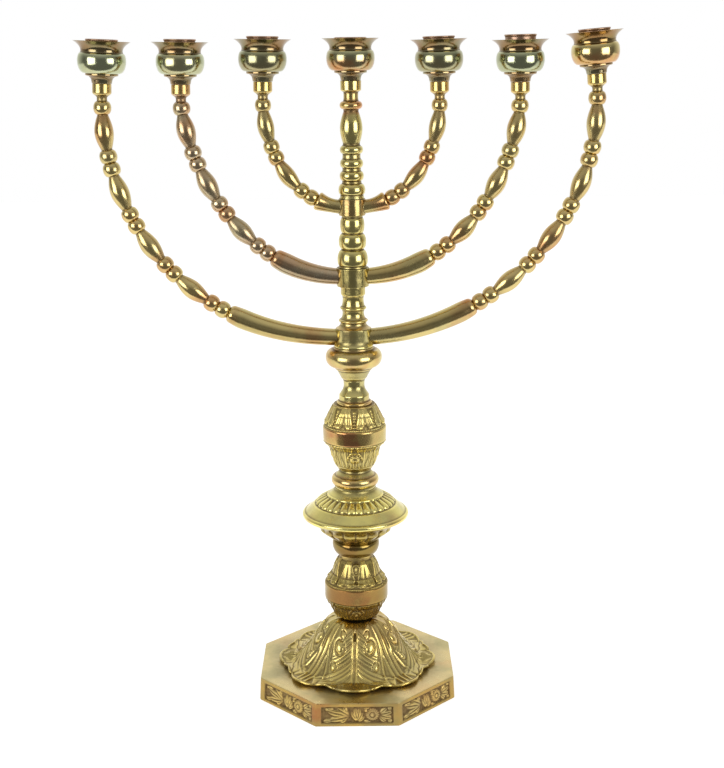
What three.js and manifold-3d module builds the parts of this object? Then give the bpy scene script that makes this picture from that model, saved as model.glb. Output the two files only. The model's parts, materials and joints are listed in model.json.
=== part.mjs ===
// A seven-light candelabra of turned and cast brass: an octagonal base, a leaf foot, a stem of stacked
// turnings drawn together by a rod, three pairs of arms on hubs, and seven cups with loose liners.
// Millimetres, +Z up. The origin is on the stem's axis, on the surface that the base stands on.
// The front is -Y, and left and right are as seen from the front.
import * as THREE from "three";
import { mergeVertices } from "three/addons/utils/BufferGeometryUtils.js";
import Module from "manifold-3d";

const wasm = await Module();
wasm.setup();

// Fits
const seatGap = 0.05;
const runningGap = 0.3;
const overrun = 2;
const weldDistance = 1e-4;

// Tie rod with its washer and nut
const rodRadius = 4;
const rodEndBelowNut = 1.5;
const rodSocketDepth = 22;
const washerRadius = 12;
const washerThickness = 1.5;
const nutRadius = 7.5;
const nutHeight = 6.5;

// Octagonal base
const baseHeight = 21.4;
const baseCornerRadius = 96.2;
const baseDraft = 1.2;
const baseWall = 5;
const baseTopThickness = 4;
const panelSideMargin = 4.6;
const panelTopMargin = 3.2;
const panelBottomMargin = 2.6;
const panelDepth = 1.3;

// Leaf foot
const footHeight = 44.8;
const footWall = 3;
const footTopRadius = 19;
const footShoulderRadius = 29.5;
const footWaistRadius = 41;
const footInnerRim = 52;
const footTipRadius = 73;
const footNotchRadius = 63;
const footTipLift = 3.4;
const footEdgeThickness = 1.6;
const footRibHeight = 1.4;

// Stem turnings from the foot up: height and greatest radius
const lowerKnopHeight = 62;
const lowerKnopRadius = 29;
const lowerRingHeight = 13.6;
const lowerRingRadius = 21;
const discHeight = 50;
const discRadius = 48.1;
const upperRingHeight = 17.4;
const upperRingRadius = 21.4;
const upperKnopHeight = 60.4;
const upperKnopRadius = 28.4;
const neckHeight = 21.5;
const neckRadius = 15.7;
const collarHeight = 30.3;
const collarRadius = 25;
const hubLowHeight = 16;
const hubLowRadius = 17.3;
const stemLowHeight = 37.2;
const stemLowRadius = 15.6;
const hubMiddleHeight = 16;
const hubMiddleRadius = 14;
const stemMiddleHeight = 45;
const stemMiddleRadius = 13.2;
const hubTopHeight = 14;
const hubTopRadius = 11.4;
const stemTopHeight = 98.7;
const stemTopRadius = 11.5;

// Arms
const tenonRadius = 4.2;
const tenonWeb = 2;
const tenonBite = 6;
const waistRadius = 4.4;
const armNeckRadius = 4.3;
const armNeckLength = 3;
const tipCollarRadius = 8;
const tipCollarLength = 11.4;
const tipCollarRound = 3.8;
const outerArch = {
  arcStart: 4,
  straight: 31,
  olives: 4,
  beadRadius: 7.6,
  beadLength: 11.1,
  oliveRadius: 8.1,
  oliveLength: 30,
  tubeRadius: 7.2,
  shoulderRadius: 8.9,
  shoulderLength: 5,
};
const middleArch = {
  arcStart: 4,
  straight: 14.4,
  olives: 3,
  beadRadius: 7.5,
  beadLength: 10.6,
  oliveRadius: 8,
  oliveLength: 27.5,
  tubeRadius: 6.9,
  shoulderRadius: 9,
  shoulderLength: 5,
};
const innerArch = {
  arcStart: 6,
  straight: 16.5,
  olives: 2,
  beadRadius: 6.9,
  beadLength: 10,
  oliveRadius: 7.1,
  oliveLength: 25.5,
  tubeRadius: 6.6,
  shoulderRadius: 8.1,
  shoulderLength: 0.8,
};
// Where each arm's tip stands: how far it is from the tip inside it, the inner ones from the stem, how
// far it is bent up, and how far it leans in. Its bend is full to the side and full below by two powers,
// which are both 2 for a true ellipse.
const degree = Math.PI / 180;
const innerLeft = { spacing: 74.3, rise: -0.2, lean: 1.1 * degree, sideFull: 2, footFull: 2 };
const innerRight = { spacing: 75, rise: -1.4, lean: 1.3 * degree, sideFull: 2, footFull: 2 };
const middleLeft = {
  spacing: 69.1,
  rise: -1.9,
  lean: 1.1 * degree,
  sideFull: 2.17,
  footFull: 1.63,
  inside: innerLeft,
};
const middleRight = {
  spacing: 68,
  rise: -2.4,
  lean: 0.9 * degree,
  sideFull: 2.14,
  footFull: 1.72,
  inside: innerRight,
};
const outerLeft = {
  spacing: 66.6,
  rise: -0.5,
  lean: 2.8 * degree,
  sideFull: 2.29,
  footFull: 1.87,
  inside: middleLeft,
};
const outerRight = {
  spacing: 65,
  rise: 3.8,
  lean: 4.9 * degree,
  sideFull: 1.96,
  footFull: 1.93,
  inside: middleRight,
};
const reachOf = (tip) => tip.spacing + (tip.inside ? reachOf(tip.inside) : 0);

// Cups
const cupFootHeight = 8;
const cupFootRadius = 13.8;
const bowlHeight = 26.3;
const bowlRadius = 24;
const bowlLip = 0.9;
const bowlDish = 3;
const bowlFloor = 4.2;
const linerRadius = 12.9;
const linerLipRadius = 13.6;
const linerLipHeight = 1.6;
const linerWall = 1.2;
const linerFloor = 1;
// How far each liner stands above its bowl's rim, from left to right
const linerStand = [1.7, 2.5, 2.5, 0.8, 2.5, 4.3, 2.5];
const screwRadius = 2.8;
const screwDepth = 8;
const screwHeadRadius = 5;
const screwHeadHeight = 2.4;

// Numbers of sides and steps
const octagon = 8;
const largeSides = 20;
const knopSides = 16;
const stemSides = 12;
const cupSides = 12;
const smallSides = 12;
const armSides = 8;
const hexagon = 6;
const footColumns = 40;
const arcSteps = 16;
const lobes = 8;

// Outlines of the turnings, from the foot up. Each row is a shape, its share of the height, the share of
// the radius that it ends on, and how far it swells, as a share of the radius.
const lowerKnopShares = {
  start: 0.48,
  rows: [
    ["cone", 0.05, 0.69],
    ["swell", 0.19, 0.86, 0.02],
    ["cone", 0.03, 0.95],
    ["cone", 0.065, 1],
    ["cone", 0.22, 1],
    ["cone", 0.06, 0.92],
    ["cone", 0.04, 0.79],
    ["swell", 0.245, 0.62, 0.015],
    ["cone", 0.065, 0.51],
    ["cone", 0.035, 0.505],
  ],
};
const lowerRingShares = { start: 0.72, rows: [["bead", 1, 0.94, 0.17]] };
const discShares = {
  start: 0.41,
  rows: [
    ["cone", 0.04, 0.445],
    ["swell", 0.18, 0.68, 0.01],
    ["flare", 0.22, 0.93],
    ["bead", 0.11, 0.95, 0.06],
    ["cone", 0.16, 0.757],
    ["swell", 0.15, 0.53, 0.03],
    ["cone", 0.01, 0.52],
    ["cove", 0.13, 0.385],
  ],
};
const upperRingShares = {
  start: 0.85,
  rows: [
    ["cone", 0.14, 0.84],
    ["bead", 0.52, 0.85, 0.155],
    ["cone", 0.24, 0.65],
    ["cone", 0.1, 0.63],
  ],
};
const upperKnopShares = {
  start: 0.53,
  rows: [
    ["cone", 0.08, 0.64],
    ["swell", 0.26, 0.8, 0.02],
    ["cone", 0.06, 0.9],
    ["cone", 0.03, 0.99],
    ["cone", 0.22, 1],
    ["cone", 0.06, 0.94],
    ["cone", 0.09, 0.83],
    ["swell", 0.12, 0.75, 0.01],
    ["cone", 0.08, 0.65],
  ],
};
const neckShares = {
  start: 1,
  rows: [
    ["cone", 0.1, 1],
    ["cone", 0.05, 0.87],
    ["cone", 0.24, 0.85],
    ["cove", 0.4, 0.59],
    ["cone", 0.21, 0.61],
  ],
};
const collarShares = {
  start: 0.39,
  rows: [
    ["ogee", 0.1, 0.47],
    ["cone", 0.22, 0.61],
    ["cone", 0.03, 0.68],
    ["cone", 0.05, 0.69],
    ["cone", 0.02, 0.74],
    ["bead", 0.5, 0.8, 0.23],
    ["cone", 0.02, 0.71],
    ["cone", 0.06, 0.7],
  ],
};
const hubLowShares = {
  start: 1,
  rows: [
    ["cone", 0.08, 1],
    ["cove", 0.26, 0.9],
    ["cone", 0.66, 0.9],
  ],
};
const hubShares = { start: 1, rows: [["cone", 1, 1]] };
const stemLowShares = {
  start: 1,
  rows: [
    ["cove", 0.1, 0.74],
    ["cone", 0.05, 0.72],
    ["bead", 0.07, 0.72, 0.11],
    ["cone", 0.04, 0.66],
    ["swell", 0.19, 0.65, -0.05],
    ["bead", 0.07, 0.66, 0.09],
    ["swell", 0.24, 0.6, -0.03],
    ["cone", 0.05, 0.69],
    ["cone", 0.19, 0.69],
  ],
};
const stemMiddleShares = {
  start: 0.93,
  rows: [
    ["cone", 0.04, 0.9],
    ["bead", 0.3, 0.74, 0.18],
    ["cone", 0.02, 0.72],
    ["bead", 0.29, 0.7, 0.2],
    ["cone", 0.02, 0.68],
    ["bead", 0.29, 0.68, 0.12],
    ["cone", 0.04, 0.7],
  ],
};
const stemTopShares = {
  start: 0.93,
  rows: [
    ["cone", 0.034, 0.85],
    ["bead", 0.094, 0.74, 0.205],
    ["cone", 0.026, 0.7],
    ["bead", 0.081, 0.7, 0.2],
    ["cone", 0.03, 0.68],
    ["bead", 0.073, 0.68, 0.18],
    ["cone", 0.047, 0.66],
    ["bead", 0.068, 0.66, 0.2],
    ["cone", 0.017, 0.62],
    ["swell", 0.274, 0.55, 0.25],
    ["cone", 0.017, 0.57],
    ["bead", 0.068, 0.57, 0.27],
    ["cone", 0.02, 0.54],
    ["cone", 0.055, 0.54],
    ["cone", 0.015, 0.76],
    ["cone", 0.081, 0.77],
  ],
};
const cupFootShares = {
  start: 0.61,
  rows: [
    ["cone", 0.3, 0.64],
    ["flare", 0.42, 0.82],
    ["cone", 0.06, 1],
    ["cone", 0.22, 1],
  ],
};
const bowlShares = {
  start: 0.62,
  rows: [
    ["bead", 0.64, 0.735, 0.165],
    ["cone", 0.07, 0.73],
    ["flare", 0.29, 1],
  ],
};

// The leaf foot's outside from its top down, and its hollow from the rim up: shares of its height, and of
// the height of its leaf ribs
const footRiseShares = [1, 0.97, 0.86, 0.7, 0.45, 0.22, 0.1];
const footRibShares = [0, 0.1, 0.4, 0.8, 1, 0.9, 0.5];
const footHollowShares = [0.12, 0.37, 0.58, 0.75];

const brass = { color: 0xa8935a, roughness: 0.3, metalness: 1 };
const warmBrass = { color: 0xb08a55, roughness: 0.32, metalness: 1 };
const greenBrass = { color: 0x8d8d68, roughness: 0.28, metalness: 1 };
const redBrass = { color: 0x9c6f55, roughness: 0.4, metalness: 1 };
const steel = { color: 0x8d8f92, roughness: 0.4, metalness: 1 };

// How a moulding's radius runs between its ends, for t from 0 to 1. A bead's steps close up at its ends.
const mix = (a, b, t) => a + (b - a) * t;
const hump = (t) => Math.sin(Math.PI * t);
const ease = (t) => (1 - Math.cos(Math.PI * t)) / 2;
const quarter = (t) => Math.sin((Math.PI * t) / 2);
const mouldings = {
  cone: { steps: 1, at: (a, b, swell, t) => [mix(a, b, t), t] },
  swell: { steps: 4, at: (a, b, swell, t) => [mix(a, b, t) + swell * hump(t), t] },
  bead: { steps: 4, at: (a, b, swell, t) => [mix(a, b, t) + swell * hump(t), ease(t)] },
  ogee: { steps: 3, at: (a, b, swell, t) => [mix(a, b, ease(t)), t] },
  flare: { steps: 3, at: (a, b, swell, t) => [mix(a, b, t * t), t] },
  cove: { steps: 4, at: (a, b, swell, t) => [mix(a, b, quarter(t)), t] },
  round: { steps: 3, at: (a, b, swell, t) => [mix(a, b, quarter(t)), 1 - quarter(1 - t)] },
};

// The outer line of a turning, as points of radius and height.
function outline(shares, radius, height) {
  const points = [new THREE.Vector2(shares.start * radius, 0)];
  let from = shares.start;
  let base = 0;
  for (const [shape, rise, to, swell = 0] of shares.rows) {
    const { steps, at } = mouldings[shape];
    for (let i = 1; i <= steps; i++) {
      const [r, z] = at(from, to, swell, i / steps);
      points.push(new THREE.Vector2(r * radius, (base + z * rise) * height));
    }
    from = to;
    base += rise;
  }
  return points;
}

// A closed solid of revolution about Z. The profile runs up the outside.
function lathe(points, sides, start = 0) {
  const geometry = new THREE.LatheGeometry(points, sides, start);
  geometry.rotateX(Math.PI / 2);
  return geometry;
}

// A turning with a hole of one radius right through it.
function drilled(points, bore, sides) {
  const foot = points[0].y;
  const top = points[points.length - 1].y;
  const ring = [new THREE.Vector2(bore, foot), ...points, new THREE.Vector2(bore, top)];
  ring.push(ring[0].clone());
  return lathe(ring, sides);
}

// A turning with a blind hole at each end.
function socketed(points, footBore, footDepth, topBore, topDepth, sides) {
  const foot = points[0].y;
  const top = points[points.length - 1].y;
  return lathe(
    [
      new THREE.Vector2(0, foot + footDepth),
      new THREE.Vector2(footBore, foot + footDepth),
      new THREE.Vector2(footBore, foot),
      ...points,
      new THREE.Vector2(topBore, top),
      new THREE.Vector2(topBore, top - topDepth),
      new THREE.Vector2(0, top - topDepth),
    ],
    sides,
  );
}

// A plain round bar along Z.
function bar(radius, foot, top, sides) {
  return lathe(
    [
      new THREE.Vector2(0, foot),
      new THREE.Vector2(radius, foot),
      new THREE.Vector2(radius, top),
      new THREE.Vector2(0, top),
    ],
    sides,
  );
}

// A closed mesh from rings of points: each ring is joined to the next, and the ends are joined to each
// other, or closed to their middles.
function skin(rings, endToEnd) {
  const columns = rings[0].length;
  const positions = rings.flat().flatMap((p) => [p.x, p.y, p.z]);
  const faces = [];
  const last = endToEnd ? rings.length : rings.length - 1;
  for (let i = 0; i < last; i++) {
    const a = i * columns;
    const b = ((i + 1) % rings.length) * columns;
    for (let j = 0; j < columns; j++) {
      const k = (j + 1) % columns;
      faces.push(a + j, b + j, a + k, a + k, b + j, b + k);
    }
  }
  if (!endToEnd) {
    for (const [ring, turn] of [
      [0, 1],
      [rings.length - 1, -1],
    ]) {
      const middle = positions.length / 3;
      const centre = rings[ring].reduce((sum, p) => sum.add(p), new THREE.Vector3()).divideScalar(columns);
      positions.push(centre.x, centre.y, centre.z);
      for (let j = 0; j < columns; j++) {
        const k = (j + 1) % columns;
        const a = ring * columns + j;
        const b = ring * columns + k;
        faces.push(...(turn > 0 ? [middle, a, b] : [middle, b, a]));
      }
    }
  }
  const geometry = new THREE.BufferGeometry();
  geometry.setAttribute("position", new THREE.Float32BufferAttribute(positions, 3));
  geometry.setIndex(faces);
  return geometry;
}

// Cuts and joins
function solid(geometry) {
  const bare = new THREE.BufferGeometry();
  bare.setAttribute("position", geometry.getAttribute("position"));
  if (geometry.index) bare.setIndex(geometry.index);
  const merged = mergeVertices(bare, weldDistance);
  return new wasm.Manifold(
    new wasm.Mesh({
      numProp: 3,
      vertProperties: merged.attributes.position.array,
      triVerts: new Uint32Array(merged.index.array),
    }),
  );
}

function surface(made) {
  const mesh = made.getMesh();
  const geometry = new THREE.BufferGeometry();
  geometry.setAttribute("position", new THREE.BufferAttribute(mesh.vertProperties, 3));
  geometry.setIndex(new THREE.BufferAttribute(mesh.triVerts, 1));
  return geometry;
}

const candelabra = new THREE.Group();

function add(group, name, geometry, finish) {
  geometry.computeVertexNormals();
  const mesh = new THREE.Mesh(geometry, new THREE.MeshStandardMaterial({ ...finish, flatShading: true }));
  mesh.name = name;
  group.add(mesh);
  return mesh;
}

// Bore radii that clear the rod and the screws all round, flats included
const clearOf = (radius, sides) => (radius + runningGap) / Math.cos(Math.PI / sides);

// The base: eight walls and a top plate with a hole for the rod, open below, a sunk panel on each side
function basePlate() {
  const topCornerRadius = baseCornerRadius - baseDraft;
  const inner = baseCornerRadius - baseWall / Math.cos(Math.PI / octagon);
  const ceiling = baseHeight - baseTopThickness;
  const hole = clearOf(rodRadius, octagon);
  const profile = [
    [inner, 0],
    [baseCornerRadius, 0],
    [topCornerRadius, baseHeight],
    [hole, baseHeight],
    [hole, ceiling],
    [inner, ceiling],
    [inner, 0],
  ].map(([r, z]) => new THREE.Vector2(r, z));
  let made = solid(lathe(profile, octagon, Math.PI / octagon));
  const side = 2 * topCornerRadius * Math.sin(Math.PI / octagon);
  const face = topCornerRadius * Math.cos(Math.PI / octagon);
  const width = side - 2 * panelSideMargin;
  const height = baseHeight - panelTopMargin - panelBottomMargin;
  for (let i = 0; i < octagon; i++) {
    const depth = panelDepth + overrun;
    const cutter = new THREE.BoxGeometry(width, depth, height);
    cutter.translate(0, panelDepth - face - depth / 2, panelBottomMargin + height / 2);
    cutter.rotateZ((i * 2 * Math.PI) / octagon);
    made = made.subtract(solid(cutter));
  }
  return surface(made);
}

// The leaf foot: a dome that flares to a scalloped skirt with raised leaf tips, hollow below
function leafFoot() {
  const between = (a, b) => (a + b) / 2;
  const outerRadii = [
    footTopRadius,
    between(footTopRadius, footShoulderRadius),
    footShoulderRadius,
    between(footShoulderRadius, footWaistRadius),
    footWaistRadius,
    between(footWaistRadius, footInnerRim) + footWall,
    footInnerRim + footWall,
  ];
  const hollowRadii = [
    footInnerRim - footWall,
    footWaistRadius - footWall,
    footShoulderRadius + footWall,
    footShoulderRadius - footWall,
  ];
  const bore = clearOf(rodRadius, footColumns);
  const rings = [];
  const ringOf = (at) => {
    const ring = [];
    for (let j = 0; j < footColumns; j++) {
      const turn = (2 * Math.PI * j) / footColumns;
      const { r, z } = at(Math.abs(Math.cos((lobes * turn) / 2)));
      const angle = turn - Math.PI / 2;
      ring.push(new THREE.Vector3(r * Math.cos(angle), r * Math.sin(angle), z));
    }
    rings.push(ring);
  };
  ringOf(() => ({ r: bore, z: footHeight - footWall }));
  ringOf(() => ({ r: bore, z: footHeight }));
  outerRadii.forEach((radius, i) => {
    const rib = footRibShares[i] * footRibHeight;
    ringOf((leaf) => ({ r: radius + rib * (leaf - 0.5), z: footRiseShares[i] * footHeight }));
  });
  const edge = (leaf) => footNotchRadius + (footTipRadius - footNotchRadius) * leaf;
  const lift = (leaf) => footTipLift * leaf * leaf;
  ringOf((leaf) => ({ r: edge(leaf), z: footEdgeThickness + lift(leaf) }));
  ringOf((leaf) => ({ r: edge(leaf), z: lift(leaf) }));
  ringOf(() => ({ r: footInnerRim, z: 0 }));
  hollowRadii.forEach((r, i) => ringOf(() => ({ r, z: footHollowShares[i] * footHeight })));
  return skin(rings, true);
}

// A hub: a short turning with the rod's hole and a hole from side to side for the two tenons
function hub(shares, radius, height) {
  const body = solid(drilled(outline(shares, radius, height), clearOf(rodRadius, stemSides), stemSides));
  const hole = bar(clearOf(tenonRadius, smallSides), -radius - overrun, radius + overrun, smallSides);
  hole.rotateY(Math.PI / 2);
  hole.translate(0, 0, height / 2);
  return surface(body.subtract(solid(hole)));
}

// The line of an arm in its own plane: out from the hub, up a nearly elliptic arc, and on to the tip.
function armLine(arch, tip, seat) {
  const { lean } = tip;
  const reach = reachOf(tip);
  const leanLength = tipCollarLength + armNeckLength;
  const top = seat + tip.rise;
  const springing = top - arch.straight;
  const line = new THREE.Path();
  line.moveTo(0, 0);
  line.lineTo(arch.arcStart, 0);
  const bend = [];
  for (let i = 1; i <= arcSteps; i++) {
    const out = Math.pow(quarter(i / arcSteps), 2 / tip.sideFull);
    const up = 1 - Math.pow(quarter(1 - i / arcSteps), 2 / tip.footFull);
    bend.push(new THREE.Vector2(mix(arch.arcStart, reach, out), springing * up));
  }
  line.splineThru(bend);
  if (arch.straight > leanLength) line.lineTo(reach, top - leanLength);
  const end = line.currentPoint.clone();
  line.lineTo(end.x - leanLength * Math.sin(lean), end.y + leanLength * Math.cos(lean));
  return line;
}

// The turned pattern of an arm, as points of way back from the tip and radius.
function armPattern(arch, length) {
  const { beadRadius, beadLength, oliveRadius, oliveLength, olives } = arch;
  const rows = [];
  const run = (shape, span, from, to, swell) => rows.push([shape, span, from, to, swell]);
  run("cone", tipCollarLength - tipCollarRound, tipCollarRadius, tipCollarRadius, 0);
  run("ogee", tipCollarRound, tipCollarRadius, armNeckRadius, 0);
  run("cone", armNeckLength, armNeckRadius, armNeckRadius, 0);
  run("bead", beadLength, armNeckRadius, waistRadius, beadRadius - waistRadius);
  for (let i = 0; i < olives; i++) {
    run("swell", oliveLength, waistRadius, waistRadius, oliveRadius - waistRadius);
    run("bead", beadLength, waistRadius, waistRadius, beadRadius - waistRadius);
    run("bead", beadLength, waistRadius, waistRadius, beadRadius - waistRadius);
  }
  run("round", arch.shoulderLength, waistRadius, arch.shoulderRadius, 0);
  const used = rows.reduce((sum, row) => sum + row[1], 0);
  run("taper", length - used, arch.shoulderRadius, arch.tubeRadius, 0);
  return rows;
}

const armSteps = { cone: 1, ogee: 2, round: 2, bead: 3, swell: 4, taper: 4 };

// What an arm's end is cut to: a hub's outline about its middle, a running gap wider all round.
function saddleOf(shares, radius, height) {
  const points = outline(shares, radius + runningGap, height);
  points.forEach((p) => (p.y -= height / 2));
  const foot = points[0].clone().setY(-height / 2 - overrun);
  const top = points[points.length - 1].clone().setY(height / 2 + overrun);
  return lathe([new THREE.Vector2(0, foot.y), foot, ...points, top, new THREE.Vector2(0, top.y)], stemSides);
}

// One arm: the pattern carried along the line, with a tapped hole in its tip and a tenon in the hub.
function arm(arch, tip, side, seat, hubRadius, saddle) {
  const line = armLine(arch, tip, seat);
  const length = line.getLength();
  const rings = [];
  const ringAt = (back, radius) => {
    const t = 1 - back / length;
    const p = line.getPoint(t);
    const way = line.getTangent(t);
    const ring = [];
    for (let j = 0; j < armSides; j++) {
      const angle = (-2 * Math.PI * j) / armSides;
      const across = radius * Math.cos(angle);
      const x = p.x - across * way.y;
      const z = p.y + across * way.x;
      ring.push(new THREE.Vector3(side * x, side * radius * Math.sin(angle), z));
    }
    rings.push(ring);
  };
  const hole = clearOf(screwRadius, armSides);
  ringAt(screwDepth + runningGap, hole);
  ringAt(0, hole);
  ringAt(0, tipCollarRadius);
  let back = 0;
  for (const [shape, span, from, to, swell] of armPattern(arch, length - hubRadius / 2)) {
    const steps = armSteps[shape];
    const moulding = mouldings[shape === "taper" ? "cone" : shape];
    for (let i = 1; i <= steps; i++) {
      const [r, t] = moulding.at(from, to, swell, i / steps);
      ringAt(back + t * span, r);
    }
    back += span;
  }
  const tenonFrom = rodRadius + tenonWeb;
  const tenon = bar(tenonRadius, tenonFrom, hubRadius + tenonBite, smallSides);
  tenon.rotateY((side * Math.PI) / 2);
  return surface(solid(skin(rings, false)).subtract(solid(saddle)).add(solid(tenon)));
}

// The tip of an arm, in its pair's frame: where its cup stands, and the way it faces.
function tipOf(arch, tip, side, seat) {
  const line = armLine(arch, tip, seat);
  const end = line.getPoint(1);
  return { x: side * end.x, z: end.y, turn: -side * tip.lean };
}

// One cup: foot, bowl, liner and screw about its own axis, standing on z = 0.
function cup(group, number, stand) {
  const screwHole = clearOf(screwRadius, cupSides);
  const footTop = runningGap + cupFootHeight;
  const bowlFoot = footTop + seatGap;
  const floor = bowlFoot + bowlFloor;
  const rim = bowlFoot + bowlHeight;
  const headHole = clearOf(screwHeadRadius, cupSides);
  const bore = clearOf(linerRadius, cupSides);
  const headSeat = floor - screwHeadHeight - seatGap;

  const foot = drilled(outline(cupFootShares, cupFootRadius, cupFootHeight), screwHole, cupSides);
  foot.translate(0, 0, runningGap);
  add(group, "cup_foot_" + number, foot, greenBrass);

  const outside = outline(bowlShares, bowlRadius, bowlHeight);
  outside.forEach((p) => (p.y += bowlFoot));
  const inside = [
    [bowlRadius - bowlLip, rim],
    [bore, rim - bowlDish],
    [bore, floor],
    [headHole, floor],
    [headHole, headSeat],
    [screwHole, headSeat],
    [screwHole, bowlFoot],
  ].map(([r, z]) => new THREE.Vector2(r, z));
  const bowl = [...outside, ...inside, outside[0].clone()];
  add(group, "cup_bowl_" + number, lathe(bowl, cupSides), greenBrass);

  const linerFoot = floor + runningGap;
  const linerTop = rim + stand;
  const linerInner = linerRadius - linerWall;
  const liner = [
    [0, linerFoot],
    [linerRadius, linerFoot],
    [linerRadius, linerTop - linerLipHeight],
    [linerLipRadius, linerTop - linerLipHeight / 2],
    [linerRadius, linerTop],
    [linerInner, linerTop],
    [linerInner, linerFoot + linerFloor],
    [0, linerFoot + linerFloor],
  ].map(([r, z]) => new THREE.Vector2(r, z));
  add(group, "candle_liner_" + number, lathe(liner, cupSides), redBrass);

  const headFoot = headSeat + seatGap;
  const screw = [
    [0, -screwDepth],
    [screwRadius, -screwDepth],
    [screwRadius, headFoot],
    [screwHeadRadius, headFoot],
    [screwHeadRadius, headFoot + screwHeadHeight - seatGap],
    [0, headFoot + screwHeadHeight - seatGap],
  ].map(([r, z]) => new THREE.Vector2(r, z));
  add(group, "cup_screw_" + number, lathe(screw, armSides), steel);
}

// The stem, stacked from the base up
let level = 0;
const rodHole = clearOf(rodRadius, knopSides);

function stack(name, geometry, height, finish) {
  const mesh = add(candelabra, name, geometry, finish);
  mesh.position.z = level;
  level += height + seatGap;
}

function stackTurning(name, shares, radius, height, sides, finish) {
  stack(name, drilled(outline(shares, radius, height), rodHole, sides), height, finish);
}

// A pair of arms on its hub. The hub keeps a running gap to the stem pieces below and above it.
const pairs = [];

function stackPair(hubName, shares, radius, height, name, arch, left, right) {
  level += runningGap - seatGap;
  const pair = new THREE.Group();
  pair.position.z = level;
  candelabra.add(pair);
  add(pair, hubName, hub(shares, radius, height), brass);
  pairs.push({ pair, name, shares, radius, height, arch, left, right, middle: level + height / 2 });
  level += height + runningGap;
}

stack("base_plate", basePlate(), baseHeight, warmBrass);
stack("leaf_foot", leafFoot(), footHeight, brass);
stackTurning("lower_knop", lowerKnopShares, lowerKnopRadius, lowerKnopHeight, knopSides, brass);
stackTurning("lower_ring", lowerRingShares, lowerRingRadius, lowerRingHeight, knopSides, brass);
stackTurning("drip_disc", discShares, discRadius, discHeight, largeSides, brass);
stackTurning("upper_ring", upperRingShares, upperRingRadius, upperRingHeight, knopSides, brass);
stackTurning("upper_knop", upperKnopShares, upperKnopRadius, upperKnopHeight, knopSides, warmBrass);
stackTurning("stem_neck", neckShares, neckRadius, neckHeight, stemSides, brass);
stackTurning("branch_collar", collarShares, collarRadius, collarHeight, knopSides, brass);
stackPair("hub_low", hubLowShares, hubLowRadius, hubLowHeight, "outer", outerArch, outerLeft, outerRight);
stackTurning("stem_low", stemLowShares, stemLowRadius, stemLowHeight, stemSides, brass);
stackPair(
  "hub_middle",
  hubShares,
  hubMiddleRadius,
  hubMiddleHeight,
  "middle",
  middleArch,
  middleLeft,
  middleRight,
);
stackTurning("stem_middle", stemMiddleShares, stemMiddleRadius, stemMiddleHeight, stemSides, brass);
stackPair("hub_top", hubShares, hubTopRadius, hubTopHeight, "inner", innerArch, innerLeft, innerRight);

const stemTopFoot = level;
const stemTopOutline = outline(stemTopShares, stemTopRadius, stemTopHeight);
const rodSocket = rodSocketDepth + runningGap;
const screwSocket = screwDepth + runningGap;
const tipHole = clearOf(screwRadius, stemSides);
stack(
  "stem_top",
  socketed(stemTopOutline, rodHole, rodSocket, tipHole, screwSocket, stemSides),
  stemTopHeight,
  brass,
);
const cupSeat = stemTopFoot + stemTopHeight;

// The rod with its washer and nut, tightened under the base's top plate
const ceiling = baseHeight - baseTopThickness;
const washerFoot = ceiling - seatGap - washerThickness;
const nutFoot = washerFoot - seatGap - nutHeight;
const rodFoot = nutFoot - rodEndBelowNut;
add(candelabra, "tie_rod", bar(rodRadius, rodFoot, stemTopFoot + rodSocketDepth, smallSides), steel);

function plainRing(radius, height, sides) {
  return drilled([new THREE.Vector2(radius, 0), new THREE.Vector2(radius, height)], rodHole, sides);
}

const washer = add(candelabra, "base_washer", plainRing(washerRadius, washerThickness, stemSides), steel);
washer.position.z = washerFoot;
const nutHole = clearOf(rodRadius, hexagon);
const nutOutline = [new THREE.Vector2(nutRadius, 0), new THREE.Vector2(nutRadius, nutHeight)];
const nut = add(candelabra, "base_nut", drilled(nutOutline, nutHole, hexagon), steel);
nut.position.z = nutFoot;

// The arms, each in its pair's frame, and the places of the cups
const places = [{ x: 0, z: cupSeat, turn: 0 }];
for (const { pair, name, shares, radius, height, arch, left, right, middle } of pairs) {
  for (const [word, side, tip] of [
    ["left", -1, left],
    ["right", 1, right],
  ]) {
    const seat = cupSeat - middle;
    const made = arm(arch, tip, side, seat, radius, saddleOf(shares, radius, height));
    const mesh = add(pair, "arm_" + name + "_" + word, made, brass);
    mesh.position.z = height / 2;
    const place = tipOf(arch, tip, side, seat);
    places.push({ x: place.x, z: place.z + middle, turn: place.turn });
  }
}

// Seven cups, numbered from left to right
places.sort((a, b) => a.x - b.x);
places.forEach(({ x, z, turn }, i) => {
  const group = new THREE.Group();
  group.position.set(x, 0, z);
  group.rotation.y = turn;
  candelabra.add(group);
  cup(group, i + 1, linerStand[i]);
});

export default candelabra;
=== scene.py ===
"""A seven-light candelabra of turned and cast brass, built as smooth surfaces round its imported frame."""

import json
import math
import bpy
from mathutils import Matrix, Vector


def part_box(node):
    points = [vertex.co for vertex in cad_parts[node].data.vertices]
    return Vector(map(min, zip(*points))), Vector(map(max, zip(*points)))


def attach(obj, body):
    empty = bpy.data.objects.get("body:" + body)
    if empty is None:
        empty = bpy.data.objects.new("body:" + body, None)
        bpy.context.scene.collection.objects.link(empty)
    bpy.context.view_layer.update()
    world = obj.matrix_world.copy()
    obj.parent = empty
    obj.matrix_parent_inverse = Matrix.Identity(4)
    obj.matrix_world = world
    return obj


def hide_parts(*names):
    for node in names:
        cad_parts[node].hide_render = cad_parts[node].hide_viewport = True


bl_info = {
    "name": "Seven-light candelabra",
    "version": (1, 0, 0),
    "blender": (4, 5, 0),
    "location": "View3D > Sidebar > Candelabra",
    "description": "Builds a seven-light brass candelabra with a leaf foot and an octagonal base",
    "category": "Add Mesh",
}

import bpy
import numpy as np
from bpy.props import FloatProperty, FloatVectorProperty, PointerProperty
from mathutils import Matrix

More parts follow.
